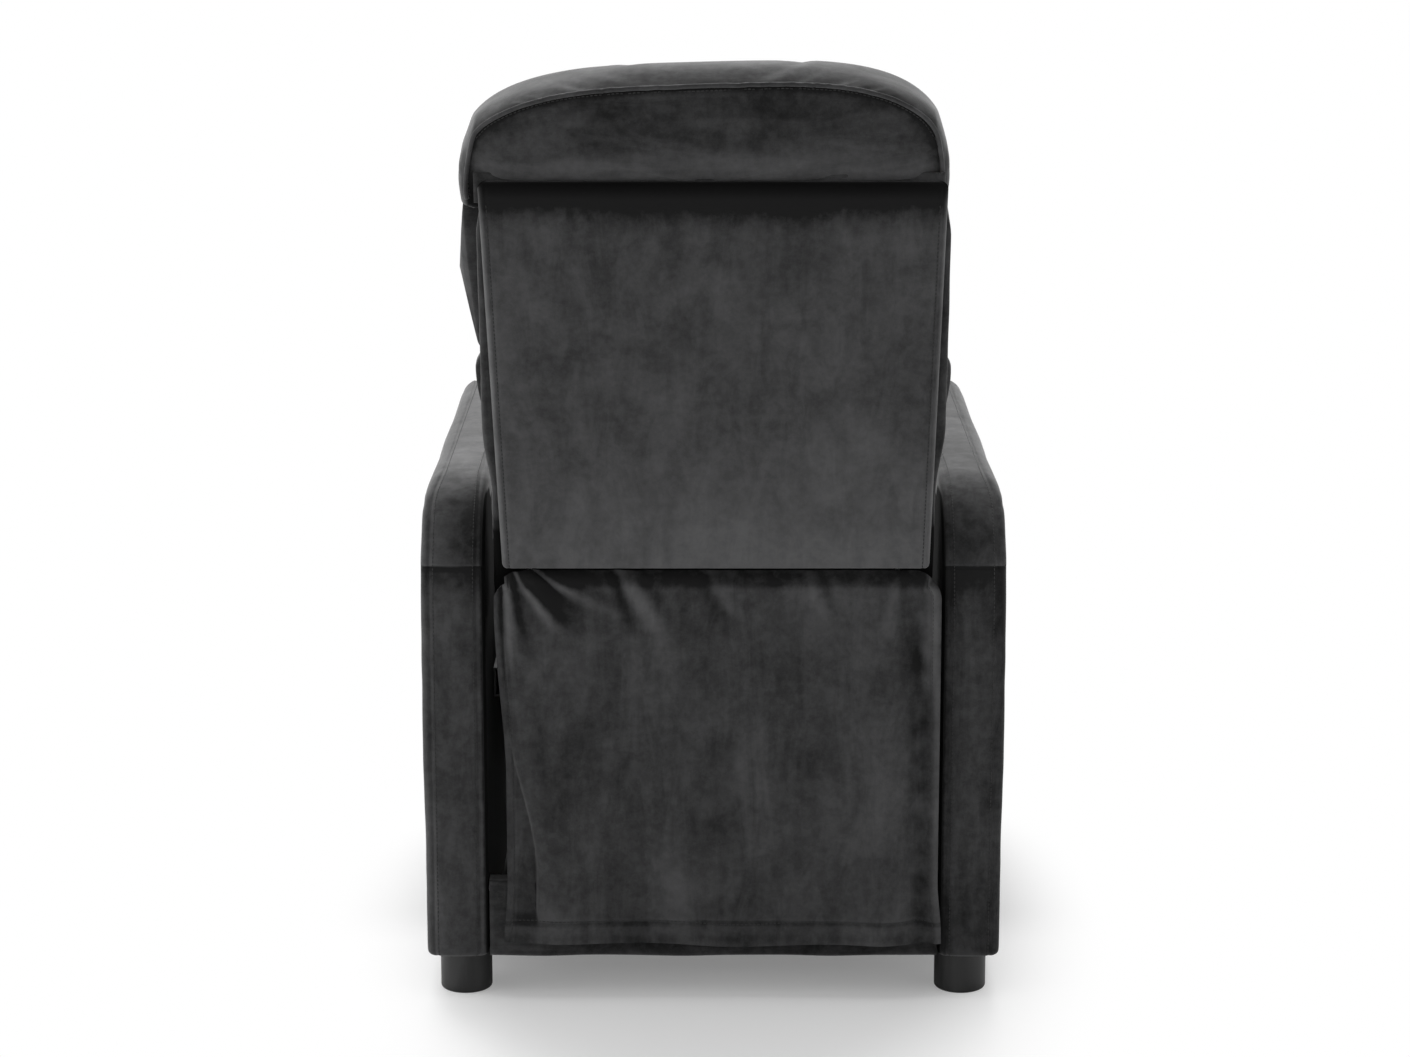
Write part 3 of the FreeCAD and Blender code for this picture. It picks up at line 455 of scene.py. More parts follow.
# Air pressure swells a cover between its pinned seams; no point moves further than the cap.
def inflate(piece, pinned, cap, slack=swell["slack"]):
    group = piece.vertex_groups.new(name="pinned")
    group.add(np.flatnonzero(pinned).tolist(), 1.0, "REPLACE")
    before = pointsOf(piece)
    cloth = piece.modifiers.new("swell", "CLOTH")
    cloth.point_cache.frame_end = swell["frames"]
    cover = cloth.settings
    cover.vertex_group_mass = "pinned"
    cover.use_pressure = True
    cover.uniform_pressure_force = swell["pressure"]
    cover.effector_weights.gravity = 0.0
    cover.quality = swell["quality"]
    cover.mass = swell["mass"]
    cover.tension_stiffness = swell["stretch"]
    cover.compression_stiffness = swell["stretch"]
    cover.shear_stiffness = swell["shear"]
    cover.bending_stiffness = swell["bend"]
    cover.shrink_min = -slack
    for step in range(1, swell["frames"] + 1):
        scene.frame_set(step)
    after = pointsOf(piece.evaluated_get(bpy.context.evaluated_depsgraph_get()))
    piece.modifiers.remove(cloth)
    piece.vertex_groups.remove(group)
    scene.frame_set(1)
    moved = after - before
    far = np.linalg.norm(moved, axis=1, keepdims=True)
    setPoints(piece, before + moved * np.tanh(far / cap) * cap / np.maximum(far, 1e-9))


# A smooth closed line through the given points: Catmull-Rom pieces, sampled evenly by length.
def closedSpline(knots, count, fine=24):
    t = np.linspace(0, 1, fine, endpoint=False)[None, :, None]
    before, first, second, after = (np.roll(knots, shift, 0)[:, None] for shift in (1, 0, -1, -2))
    line = 0.5 * (
        2 * first
        + (second - before) * t
        + (2 * before - 5 * first + 4 * second - after) * t**2
        + (3 * first - before - 3 * second + after) * t**3
    ).reshape(-1, knots.shape[1])
    return evenLoop(line, count)


# Points spaced evenly by length along a closed line.
def evenLoop(line, count):
    ring = np.concatenate([line, line[:1]])
    run = np.concatenate([[0], np.cumsum(np.linalg.norm(np.diff(ring, axis=0), axis=1))])
    at = np.linspace(0, run[-1], count, endpoint=False)
    return np.stack([np.interp(at, run, ring[:, k]) for k in range(ring.shape[1])], -1)


# A box drawn across the chair: its section is a rectangle whose corners are quarter circles.
def softBox(name, low, high, radius, placed, uneven=0.0, across=90, around=48):
    low, high = np.array(low), np.array(high)
    middle, half = (low + high)[1:] / 2, (high - low)[1:] / 2 - radius
    turn = (np.arange(around) + 0.5) * 2 * np.pi / around
    way = np.stack([np.cos(turn), np.sin(turn)], -1)
    section = middle + np.clip(way * 1e3, -half, half) + way * radius
    points = placed(np.linspace(low[0], high[0], across)[:, None], section[:, 0], section[:, 1])
    points[..., 1] += waves(points, 0.07, 31) * uneven
    points[..., 2] += waves(points, 0.09, 32) * uneven
    return newPiece(name, points, tubeFaces(across, around))


# Closed pad: a loop of (back, up) points is carried across the width and drawn to a pole at each end.
# Near the ends depth and height shrink as superellipses, so the ends are flat with rounded edges.
def padGrid(loop, middle, halfWidth, across, endPower, placed):
    share = np.sin(np.linspace(-1, 1, across) * np.pi / 2 * 0.96) / np.sin(np.pi / 2 * 0.96)
    shrink = np.maximum(1 - np.abs(share) ** endPower, 0.0) ** (1 / endPower)
    shape = middle + (loop - middle) * shrink[:, None, None]
    wide = halfWidth(loop[:, 1]) * share[:, None]
    points = placed(wide, shape[..., 0], shape[..., 1])
    inner = points[1:-1]
    rows, cols = inner.shape[:2]
    ends = [points[0].mean(0), points[-1].mean(0)]
    first, last = rows * cols, rows * cols + 1
    faces = gridQuads(rows, cols, wrap=True).tolist()
    faces += [[first, (k + 1) % cols, k] for k in range(cols)]
    faces += [[last, (rows - 1) * cols + k, (rows - 1) * cols + (k + 1) % cols] for k in range(cols)]
    return np.concatenate([inner.reshape(-1, 3), ends]), faces, rows


# arms: two side panels joined by a band that runs up the back, over the top and down the front
arm = {
    "edge": 0.009,
    "frontCorner": 0.025,
    "rearCorner": 0.130,
    "foot": 0.007,
    "crown": 0.0016,
    "groove": 0.0016,
    "grooveWidth": 0.0022,
    "rearSeam": 0.495,
    "seamStep": 0.0014,
    "capSeam": 0.553,
    "capIn": 0.013,
    "capDrop": 0.0004,
    "bulge": 0.0022,
    "innerFull": 0.0004,
    "unevenBroad": 0.0009,
    "unevenFine": 0.0003,
    "stitchIn": 0.0042,
    "stitchOut": 0.0004,
    # painted light and shade on each arm: the left arm lighter and the right darker, as lit from the left
    "paintedLeft": 0.05,
    "paintedRight": -0.08,
    # painted light above the rear seam
    "aboveLeft": -0.02,  # above the rear seam
    "aboveRight": 0.17,
    "outerLeft": 0.24,  # more towards the outer edge there
    "outerRight": 0.08,
    # painted shadow of the flap on the right arm beside it
    "besideRight": -0.14,  # beside the flap
    # painted shadow under the rear seam's overlap and along the seam line
    "belowSeam": -0.28,
    "onSeam": -0.3,
    "shadeShare": 0.55,  # of the black lining, where the inner face is in shade
}
armLow, armHigh = (np.array(corner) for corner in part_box("arm_cover_left"))


# Bends the plain arm: the outer top edge rolls in, panels swell, seams are drawn in, the foot is rounded.
def armShape(points):
    x, y, z = points[..., 0], points[..., 1], points[..., 2]
    wide = (x - armLow[0]) / (armHigh[0] - armLow[0])
    outer = ease(wide, 0.80, 0.98)
    inner = ease(1 - wide, 0.80, 0.98)
    tall = np.clip((z - armLow[2]) / (armHigh[2] - armLow[2]), 0, 1)
    deep = np.clip((y - armLow[1]) / (armHigh[1] - armLow[1]), 0, 1)
    roll = np.clip((z - arm["capSeam"]) / (armHigh[2] - arm["capSeam"]), 0, 1) ** 2
    fullness = (1 - (2 * tall - 1) ** 4) * (1 - (2 * deep - 1) ** 6)
    seam = bell(z - arm["capSeam"], arm["grooveWidth"])
    rear = ease(y, armHigh[1] - 0.022, armHigh[1] - 0.010)
    behind = ease(y, armHigh[1] - 0.060, armHigh[1] - 0.020)
    rearSeam = bell(z - arm["rearSeam"], arm["grooveWidth"]) * rear
    stepped = ease(z, arm["rearSeam"] - 0.001, arm["rearSeam"] + 0.0015)
    uneven = waves(points, 0.16, 3) * arm["unevenBroad"] + waves(points, 0.05, 4) * arm["unevenFine"]
    moved = points.copy()
    moved[..., 0] += outer * (fullness * arm["bulge"] - seam * arm["groove"] + uneven)
    moved[..., 0] += inner * (arm["innerFull"] + 0.3 * uneven)
    moved[..., 0] -= arm["capIn"] * roll * np.clip(wide, 0, 1) ** 2
    moved[..., 1] -= rearSeam * arm["groove"] * 1.2 - rear * uneven
    moved[..., 1] += arm["seamStep"] * behind * stepped
    moved[..., 2] -= roll * arm["capDrop"]
    under = np.clip((armLow[2] - 0.001 + arm["foot"] - z) / arm["foot"], 0, 1)
    inset = arm["foot"] * 0.95 * (1 - np.sqrt(1 - under**2))
    moved[..., 0] -= inset * np.clip(2 * wide - 1, -1, 1)
    moved[..., 1] -= inset * (2 * deep - 1)
    return moved


# Points of a side panel's outline, its outward normals, and the panel's own grid.
# The grid is a rectangle whose two upper corners are turned from squares into quarter discs.
def armOutline():
    edge = arm["edge"]
    front, rear = arm["frontCorner"] - edge, arm["rearCorner"] - edge
    low, high = armLow[1:] + [edge, -0.001], armHigh[1:] - edge
    bend = 1 - np.sin(np.linspace(0, np.pi / 2, 16))
    straight = np.linspace(low[0] + front, high[0] - rear, 34)[1:-1]
    ys = np.concatenate([low[0] + front * bend[::-1], straight, high[0] - rear * bend])
    near = np.array([-0.009, -0.005, -0.0025, 0.0, 0.0025, 0.005, 0.009])
    levels = [np.linspace(low[1], high[1] - rear, 30), high[1] - rear * bend, high[1] - front * bend[::3]]
    levels += [arm["rearSeam"] + near, arm["capSeam"] + near, low[1] + arm["foot"] * bend[2::3]]
    zs = np.unique(np.concatenate(levels).round(5))
    y, z = np.meshgrid(ys, zs, indexing="ij")
    corner = np.where(y > 0, rear, front)
    centre = np.stack([np.clip(y, low[0] + front, high[0] - rear), np.minimum(z, high[1] - corner)], -1)
    out = np.stack([y, z], -1) - centre
    far = np.linalg.norm(out, axis=-1)
    out *= (np.abs(out).max(-1) / np.maximum(far, 1e-12))[..., None]
    grid = centre + out
    rim = np.concatenate([grid[-1], grid[-2::-1, -1], grid[0, -2::-1]])
    middle = np.concatenate([centre[-1], centre[-2::-1, -1], centre[0, -2::-1]])
    side = np.zeros_like(rim)
    side[: len(zs), 0] = 1
    side[len(zs) : -len(zs) + 1, 1] = 1
    side[-len(zs) + 1 :, 0] = -1
    lean = rim - middle
    curved = (np.abs(lean) > 1e-7).all(-1)
    side[curved] = lean[curved]
    return grid, rim, unit(side)


# Painted light and shade on an arm: black lining painted as shade on the inner face, painted shadow under the rear
# seam, on it and beside the flap, painted light above the seam, the left arm lighter and the right darker.
def armPaintedShade(points, side):
    x, y, z = np.abs(points[:, 0]), points[:, 1], points[:, 2]
    seam = arm["rearSeam"]
    within = 1 - ease(x, armLow[0] + 0.001, armLow[0] + 0.005)
    shadowLined = within * (1 - ease(z - 0.19 * ease(y, 0.06, 0.20), 0.36, 0.39))
    shaded = within * ease(y, -0.10, 0.05) * (1 - ease(z, 0.545, 0.565))
    beside = (1 - ease(x, 0.257, 0.274)) * (1 - ease(z, 0.47, 0.50))
    outer = ease(x, 0.272, 0.308)
    behind = ease(y, 0.20, 0.26)
    over = ease(z, seam, seam + 0.002)
    below = behind * ease(z, seam - 0.040, seam) * (1 - over)
    line = behind * bell(z - seam + 0.001, 0.0020)
    if side > 0:
        tint = arm["paintedLeft"] + behind * over * (arm["outerLeft"] * outer + arm["aboveLeft"])
    else:
        tint = arm["paintedRight"] + behind * over * (arm["aboveRight"] + arm["outerRight"] * outer)
        tint = tint + arm["besideRight"] * beside
    tint = tint + velvet["shadowLined"] * np.maximum(shadowLined, arm["shadeShare"] * shaded)
    return tint + arm["belowSeam"] * below + arm["onSeam"] * line


# The band's section: a round edge, a sewn groove, a low crown, and the same back to the inner panel.
def armCover(side):
    label = sideNames[side]
    grid, rim, out = armOutline()
    edge = arm["edge"]
    inside, outside = armLow[0], armHigh[0]
    turn = np.linspace(0, np.pi / 2, 6)
    step = np.array([0.0, 0.0012, 0.0025, 0.0045, 0.008, 0.014])
    half = (outside - inside) / 2 - edge
    band = np.concatenate([step, [half], 2 * half - step[::-1]])
    crown = arm["crown"] * (1 - (band / half - 1) ** 2)
    dip = arm["groove"] * (bell(band, arm["grooveWidth"]) + bell(2 * half - band, arm["grooveWidth"]))
    fall = edge * (1 - np.cos(turn))
    xs = np.concatenate([outside - fall, outside - edge - band[1:-1], inside + fall[::-1]])
    rise = np.concatenate([edge * np.sin(turn), (edge + crown - dip)[1:-1], edge * np.sin(turn[::-1])])
    rise[[5, -6]] -= arm["groove"]
    belt = asPlaced(xs, rim[:, :1] + out[:, :1] * rise, rim[:, 1:] + out[:, 1:] * rise)
    panels = [asPlaced(x, grid[..., 0], grid[..., 1]) for x in (outside, inside)]
    floor = np.stack([panels[0][:, 0], panels[1][:, 0]], 1)
    ends = [np.stack([belt[k], asPlaced(xs, rim[k, 0], belt[k, :, 2])]) for k in (0, -1)]
    points, faces, start = [], [], 0
    for sheet in (belt, *panels, floor, *ends):
        points.append(sheet.reshape(-1, 3))
        faces += gridQuads(*sheet.shape[:2], start=start).tolist()
        start += len(points[-1])
    shaped = armShape(np.concatenate(points)) * [side, 1, 1]
    cover = newPiece("arm_velvet_" + label, shaped, faces, merge=0.00004)
    padCover(cover, "upright", "base", "arm_cover_" + label, armPaintedShade(pointsOf(cover), side))
    softer(cover)
    facing = asPlaced(0.0, out[:, 0], out[:, 1])
    ridge = rim + out * (edge + arm["stitchOut"])
    sewn = edge + arm["stitchIn"]
    for tag, x in (("outer", outside - sewn), ("inner", inside + sewn)):
        line = armShape(asPlaced(x, ridge[:, 0], ridge[:, 1])) * [side, 1, 1]
        stitchRow("arm_stitches_%s_%s" % (tag, label), line, facing, "base")


for armSide in (1, -1):
    armCover(armSide)
print("arms made")


# the back is drawn upright about its hinge, y behind it and z up it, then leaned
back = {
    "lean": math.radians(13.5),
    "rear": -0.0024,  # where the pads meet the frame
    "drift": 0.009,
    "driftFrom": 0.30,
    "driftTo": 0.50,
    "lowDrift": -0.003,
    "lowFrom": 0.18,
    "lowTo": 0.30,
}
hinge = np.array(joints["back_recline"]["pos_m"])
backOut = np.array([0.0, math.cos(back["lean"]), -math.sin(back["lean"])])


# From upright (x, y, z) about the hinge to the leaned back's place in the room.
def fromBack(x, y, z):
    lean = back["lean"]
    ahead = hinge[1] + y * math.cos(lean) + z * math.sin(lean)
    height = hinge[2] - y * math.sin(lean) + z * math.cos(lean)
    return asPlaced(x, ahead, height)


# The pads sit a little to one side towards the top, as sewn, and to the other at the bottom.
def fromPads(x, y, z):
    drift = back["drift"] * ease(z, back["driftFrom"], back["driftTo"])
    drift = drift + back["lowDrift"] * (1 - ease(z, back["lowFrom"], back["lowTo"]))
    return fromBack(x + drift, y, z)


# How far up the leaned back a point lies.
def upBack(points):
    return (points - hinge) @ [0.0, math.sin(back["lean"]), math.cos(back["lean"])]


# padded board across the rear of the back
panel = {
    "bottom": 0.111,
    "top": 0.5545,
    "front": 0.0378,
    "rear": 0.0555,
    "leftBottom": 0.2310,
    "leftTop": 0.2460,
    "rightBottom": -0.2360,
    "rightTop": -0.2438,
    "corner": 0.009,
    "sideRoll": 0.007,
    "topRoll": 0.024,
    "bottomRoll": 0.0025,
    "crown": 0.0018,
    "groove": 0.0009,
    "stitchIn": 0.0085,
    "stitchShare": 0.0185,
    "across": 110,
    "up": 110,
    # pile tone all over, painted light towards the bottom and more at the lower right, and painted shadow under
    # the head
    "napAndShade": 0.11,
    "paintedLow": 0.36,
    "paintedLowRight": 0.05,
    "shadowRoll": -0.36,
    "shadowEdge": -0.50,
}


# Rear face over (u, v), each 0 to 1: a quarter ellipse rolls each edge to the board's front.
def panelFace(u, v):
    left = panel["leftBottom"] + (panel["leftTop"] - panel["leftBottom"]) * v
    right = panel["rightBottom"] + (panel["rightTop"] - panel["rightBottom"]) * v
    z = panel["bottom"] + (panel["top"] - panel["bottom"]) * v
    x, z = roundCorners(left + (right - left) * u, z, left, right, panel["top"], panel["corner"])
    fromSide = np.minimum(left - x, x - right)
    fromTop = panel["top"] - z
    fromBottom = z - panel["bottom"]
    depth = np.ones_like(x)
    for distance, size in ((fromSide, "sideRoll"), (fromTop, "topRoll"), (fromBottom, "bottomRoll")):
        share = np.clip(distance / panel[size], 0, 1)
        depth = depth * np.sqrt(np.maximum(1 - (1 - share) ** 2, 0))
    here = fromBack(x, panel["rear"], z)
    soft = np.clip(np.minimum(fromSide, fromBottom) / 0.03, 0, 1)
    crown = panel["crown"] * (1 - (2 * u - 1) ** 2) * (1 - (2 * v - 1) ** 2)
    uneven = (waves(here, 0.21, 11) * 0.0008 + waves(here, 0.06, 12) * 0.0002) * soft
    groove = panel["groove"] * bell(fromSide - panel["stitchIn"], 0.0016)
    thick = (panel["rear"] - panel["front"]) * depth + (crown + uneven - groove) * depth
    return x, panel["front"] + thick, z


# Painted light towards the bottom, most of all on the right, and painted shadow, black, on the top roll under the
# head's overhang.
def panelPaintedShade(points):
    height = upBack(points)
    low = 1 - ease(height, panel["bottom"] - 0.02, panel["bottom"] + 0.21)
    roll = ease(height, panel["top"] - 0.062, panel["top"] - 0.004)
    lowRight = low * ease(-points[:, 0], 0.02, 0.15)
    napAndShade = panel["napAndShade"] + panel["paintedLow"] * low + panel["paintedLowRight"] * lowRight
    return napAndShade + panel["shadowRoll"] * roll + panel["shadowEdge"] * roll**2


# The rear face and a flat front, joined at their edges, with a row of stitches on each side.
def backPanel():
    u, v = np.meshgrid(crowded(panel["across"], 2.2), crowded(panel["up"], 2.2), indexing="ij")
    x, y, z = panelFace(u, v)
    rear = fromBack(x, y, z).reshape(-1, 3)
    front = fromBack(x, panel["front"], z).reshape(-1, 3)
    quads = gridQuads(panel["across"], panel["up"])
    faces = quads.tolist() + (quads[:, ::-1] + len(rear)).tolist()
    piece = newPiece("back_panel_velvet", np.concatenate([rear, front]), faces, merge=0.00002)
    padCover(piece, "upright", "backrest", "back_panel", panelPaintedShade(pointsOf(piece)))
    v = np.linspace(0.004, 0.955, 200)
    facing = np.broadcast_to(backOut, (200, 3))
    for tag, u in (("left", panel["stitchShare"]), ("right", 1 - panel["stitchShare"])):
        x, y, z = panelFace(np.full(200, u), v)
        stitchRow("back_panel_stitches_" + tag, fromBack(x, y + 0.0002, z), facing, "backrest")


backPanel()
print("back panel made")

# three pads across the front of the back; the uppermost rolls over the top
head = {
    "halfWidth": 0.2575,
    "weltHalf": 0.2480,
    "bottom": 0.5500,
    "height": 0.1070,
    "weltHeight": 0.1045,
    "fullLeft": 3.5,
    "fullRight": 3.35,
    "fullUp": 2.95,
    "lopside": 0.003,
    "tilt": 0.030,
    "rear": 0.0405,
    "footIn": 0.006,
    "leanIn": 0.012,
    "sideIn": 0.011,
    "swell": 0.0022,
    "shoulder": -0.0040,
    "flatTo": -0.036,
    "front": -0.0890,
    "frontFull": 0.005,
    "frontDrop": 0.0190,
    "sideDrop": 0.0360,
    "skirtIn": 0.016,
    "cordRadius": 0.0025,
    "cordOut": 0.0008,
    "stitchIn": 0.0056,
    "around": 130,
    "cap": 0.009,
    "slack": 0.008,
    # painted light and shade: lit band, shade above it and at the foot, painted shadow on the two rings under the
    # welt, painted highlight on the cord
    "litBand": 0.16,
    "shadeUpper": -0.08,
    "shadeFoot": -0.3,
    "shadeUnderWelt": (-0.14, -0.45),
    "litCord": 0.12,
}


# Arch of the head pad from one lower corner over the top to the other: a superellipse, a little lopsided.
def headArch(half, height):
    turn = np.linspace(0, np.pi, head["around"])
    fullness = np.where(turn < np.pi / 2, head["fullLeft"], head["fullRight"])
    x = half * np.sign(np.cos(turn)) * np.abs(np.cos(turn)) ** (2 / fullness)
    x = x + head["lopside"] * ease(x, 0.08, half)
    z = height * np.abs(np.sin(turn)) ** (2 / head["fullUp"])
    return x, z * (1 - head["tilt"] * x / height)


# Rear band of the head pad: y over x and height, tucked in at the foot and leaning forward to the welt.
def headRear(x, z):
    h = z / head["weltHeight"]
    foot = head["footIn"] * (1 - ease(h, 0.0, 0.10))
    swelled = head["swell"] * bell(h - 0.20, 0.15)
    side = head["sideIn"] * ease(np.abs(x), 0.190, head["weltHalf"]) ** 2
    return head["rear"] - foot + swelled - head["leanIn"] * h**2.2 - side


# Rings carried from the middle of the rear band out to the welt, round the shoulder and over to the front:
# the welt's arch grows into the outer arch along a quarter turn, then shrinks along another.
def headRings():
    weltX, weltZ = headArch(head["weltHalf"], head["weltHeight"])
    outerX, outerZ = headArch(head["halfWidth"], head["height"])
    rings = []
    for share in (0.12, 0.26, 0.40, 0.53, 0.65, 0.76, 0.85, 0.91, 0.955, 0.985, 1.0):
        x, z = weltX * share, weltZ * share
        rings.append(asPlaced(x, headRear(x, z), z))
    welt = len(rings) - 1
    rearY = rings[-1][:, 1]
    quarter = np.linspace(0, np.pi / 2, 10)[1:]
    for turn in quarter:
        grow = np.sin(turn)
        x, z = weltX + (outerX - weltX) * grow, weltZ + (outerZ - weltZ) * grow
        rings.append(asPlaced(x, rearY + (head["shoulder"] - rearY) * (1 - np.cos(turn)), z))
    for y in (-0.014, -0.025, head["flatTo"]):
        rings.append(asPlaced(outerX, y, outerZ))
    for turn in quarter:
        fall = 1 - np.cos(turn)
        y = head["flatTo"] + (head["front"] - head["flatTo"]) * np.sin(turn)
        rings.append(asPlaced(outerX * (1 - 0.10 * fall), y, outerZ * (1 - 0.5 * fall)))
    edge = rings[-1]
    for share in (0.9, 0.75, 0.6, 0.45, 0.3, 0.15):
        full = head["front"] - head["frontFull"] * (1 - share**2)
        rings.append(asPlaced(edge[:, 0] * share, full, edge[:, 2] * share))
    x, y, z = np.moveaxis(np.array(rings), -1, 0)
    front = ease(-y, -0.010, 0.045)
    skirt = ease(np.abs(x), 0.238, 0.250)
    fall = np.maximum(head["frontDrop"] * front, head["sideDrop"] * skirt) * (1 - z / head["height"])
    x = x * (1 - head["skirtIn"] * skirt * (1 - ease(z, 0.0, 0.03)))
    return fromPads(x, y, head["bottom"] + z - fall), welt


# Rings that start and end on a flat foot become a closed pad: a fan at each end and one face below.
def ringPad(name, rings):
    count, around = rings.shape[:2]
    centres = np.stack([rings[0, [0, -1]].mean(0), rings[-1, [0, -1]].mean(0)])
    first, last = count * around, count * around + 1
    faces = gridQuads(count, around).tolist()
    faces += [[first, k, k + 1] for k in range(around - 1)]
    final = (count - 1) * around
    faces += [[last, final + k + 1, final + k] for k in range(around - 1)]
    starts = [ring * around for ring in range(count)]
    faces.append([first] + starts + [last] + [start + around - 1 for start in reversed(starts)])
    return newPiece(name, np.concatenate([rings.reshape(-1, 3), centres]), faces)


# The swelled head pad, its welt cord and the stitches under it.
def headPad():
    rings, welt = headRings()
    count, around = rings.shape[:2]
    piece = ringPad("head_velvet", rings)
    still = np.zeros((count, around), bool)
    still[:, [0, -1]] = True
    still[welt] = True
    still |= upBack(rings) < head["bottom"] + 0.007
    inflate(piece, np.append(still.ravel(), [True, True]), head["cap"], head["slack"])
    grid = pointsOf(piece)[: count * around].reshape(count, around, 3)
    facing = unit(np.cross(np.gradient(grid, axis=0), np.gradient(grid, axis=1)))
    facing *= np.sign((facing[welt // 2] @ backOut).mean())
    # painted light on a band above the foot, painted shade higher up, at the foot itself and just under the welt
    high = (upBack(grid[: welt + 1]) - head["bottom"]) / head["weltHeight"]
    napAndShade = np.zeros((count, around))
    napAndShade[: welt + 1] = head["litBand"] * bell(high - 0.20, 0.12) + head["shadeUpper"] * bell(high - 0.62, 0.30)
    napAndShade[: welt + 1] += head["shadeFoot"] * (1 - ease(high, 0.02, 0.07))
    napAndShade[welt - 2 : welt] += np.array(head["shadeUnderWelt"])[:, None]
    padCover(piece, "across", "backrest", "head_pad", np.append(napAndShade.ravel(), [0, 0]))
    softer(piece)
    seam, seamOut = grid[welt, 2:-2], facing[welt, 2:-2]
    path = seam + seamOut * head["cordOut"]
    cord = weltTube("head_welt", path, seamOut, head["cordRadius"], "across", "backrest")
    paintShade(cord, head["litCord"])
    inside = unit(grid[welt - 1, 2:-2] - seam)
    flat = facing[welt - 1, 2:-2]
    stitchRow("head_stitches", seam + inside * head["stitchIn"] + flat * 0.0004, flat, "backrest")


headPad()
# the tuck cloth under the head pad is painted a little darker, as shade under the pad
tuck = {"low": (-0.2410, 0.0361, 0.530), "high": (0.2410, 0.0377, 0.5635), "round": 0.0007, "napAndShade": -0.12}
tuckCloth = softBox("head_tuck", tuck["low"], tuck["high"], tuck["round"], fromPads)
paintShade(dress(tuckCloth, "across", "backrest"), tuck["napAndShade"])
print("head pad made")

bolsters = {
    "middle": {
        "low": 0.3400,
        "high": 0.5275,
        "depth": 0.094,
        "halfLow": 0.2535,
        "halfHigh": 0.2570,
        "widensFrom": 0.3400,
        "cap": 0.013,
    },
    "lumbar": {
        "low": 0.0510,
        "high": 0.3465,
        "depth": 0.100,
        "halfLow": 0.2410,
        "halfHigh": 0.2580,
        "widensFrom": 0.205,
        "cap": 0.016,
    },
}


# Side view of a bolster as a loop of (y, z): a plump superellipse in front and a flat rear.
def bolsterLoop(size, count=72):
    turn = np.linspace(-np.pi / 2, np.pi / 2, 61)
    middle, half = (size["low"] + size["high"]) / 2, (size["high"] - size["low"]) / 2
    rise = np.sign(np.sin(turn)) * np.abs(np.sin(turn)) ** 0.72 * half
    depth = back["rear"] - (size["depth"] + back["rear"]) * np.abs(np.cos(turn)) ** 0.62
    rear = np.linspace(half, -half, 21)[1:-1]
    y = np.concatenate([depth, np.full(len(rear), back["rear"])])
    z = np.concatenate([rise, rear]) + middle
    return evenLoop(np.stack([y, z], -1), count)


# A bolster: its loop carried across, wider towards the top, and swelled in front.
def bolsterPad(name, size):
    loop = bolsterLoop(size)
    middle = np.array([back["rear"] - size["depth"] * 0.35, (size["low"] + size["high"]) / 2])

    def halfWidth(z):
        wider = size["halfHigh"] - size["halfLow"]
        return size["halfLow"] + wider * ease(z, size["widensFrom"], size["high"])

    points, faces, rows = padGrid(loop, middle, halfWidth, 100, 16, fromPads)
    piece = newPiece(name + "_velvet", points, faces, tidy=False)
    still = loop[:, 0] > back["rear"] - 0.012
    inflate(piece, np.append(np.tile(still, rows), [False, False]), size["cap"])
    # painted shade: the ends are painted as black lining where they are hidden between the arms
    x, y, z = pointsOf(piece).T
    hidden = (1 - ease(z, 0.55, 0.57)) * ease(np.abs(x), 0.225, 0.235) * ease(y, 0.16, 0.20)
    padCover(piece, "across", "backrest", name + "_pad", velvet["shadowLined"] * hidden)
    softer(piece)


for bolsterName, bolsterSize in bolsters.items():
    bolsterPad(bolsterName, bolsterSize)
print("back pads made")

# cloth stretched over the sides of the back frame, from behind the pads round to the rear panel
strip = {
    "bottom": 0.044,
    "top": 0.5630,
    "front": -0.055,
    "rear": 0.0374,
    "inner": 0.2065,
    "outer": 0.2405,
    "fuller": 0.0085,
    "corner": 0.006,
    "skin": 0.0012,
    "slack": 0.0006,
    "napAndShade": -0.12,
    "paintedLow": -1.5,
}


# The section is an L of cloth: along the side, round the rear corner and in behind the panel.
def sideStrip(side):
    z = np.linspace(strip["bottom"], strip["top"], 90)
    outer = strip["outer"] + strip["fuller"] * ease(z, 0.190, 0.270)
    outer = outer - strip["fuller"] * ease(z, 0.490, 0.545)
    turn = np.linspace(0, np.pi / 2, 7)
    loops = []
    for inset, order in ((0.0, 1), (strip["skin"], -1)):
        radius = strip["corner"] - inset
        x = np.concatenate([[0.0, 0.0], radius * (1 - np.cos(turn)), [0.0]]) + inset
        corner = strip["rear"] - strip["corner"] + radius * np.sin(turn)
        y = np.concatenate([[strip["front"], -0.002], corner, [strip["rear"] - inset]])
        across = outer[:, None] - x
        across[:, -1] = strip["inner"]
        loops.append(np.stack([across, np.broadcast_to(y, across.shape)], -1)[:, ::order])
    ring = np.concatenate(loops, 1)
    points = fromBack(ring[..., 0] * side, ring[..., 1], z[:, None])
    points[..., 0] += side * waves(points, 0.08, 41) * strip["slack"] * (ring[..., 1] < 0.034)
    piece = newPiece("back_side_velvet_" + sideNames[side], points, tubeFaces(*ring.shape[:2]))
    dress(piece, "upright", "backrest")
    # painted shade: a little darker all over, and black lining below the arm tops, where the strip lies in the
    # shaded gap
    low = 1 - ease(pointsOf(piece)[:, 2], 0.52, 0.56)
    paintShade(piece, strip["napAndShade"] + strip["paintedLow"] * low)


for stripSide in (1, -1):
    sideStrip(stripSide)
print("back sides made")


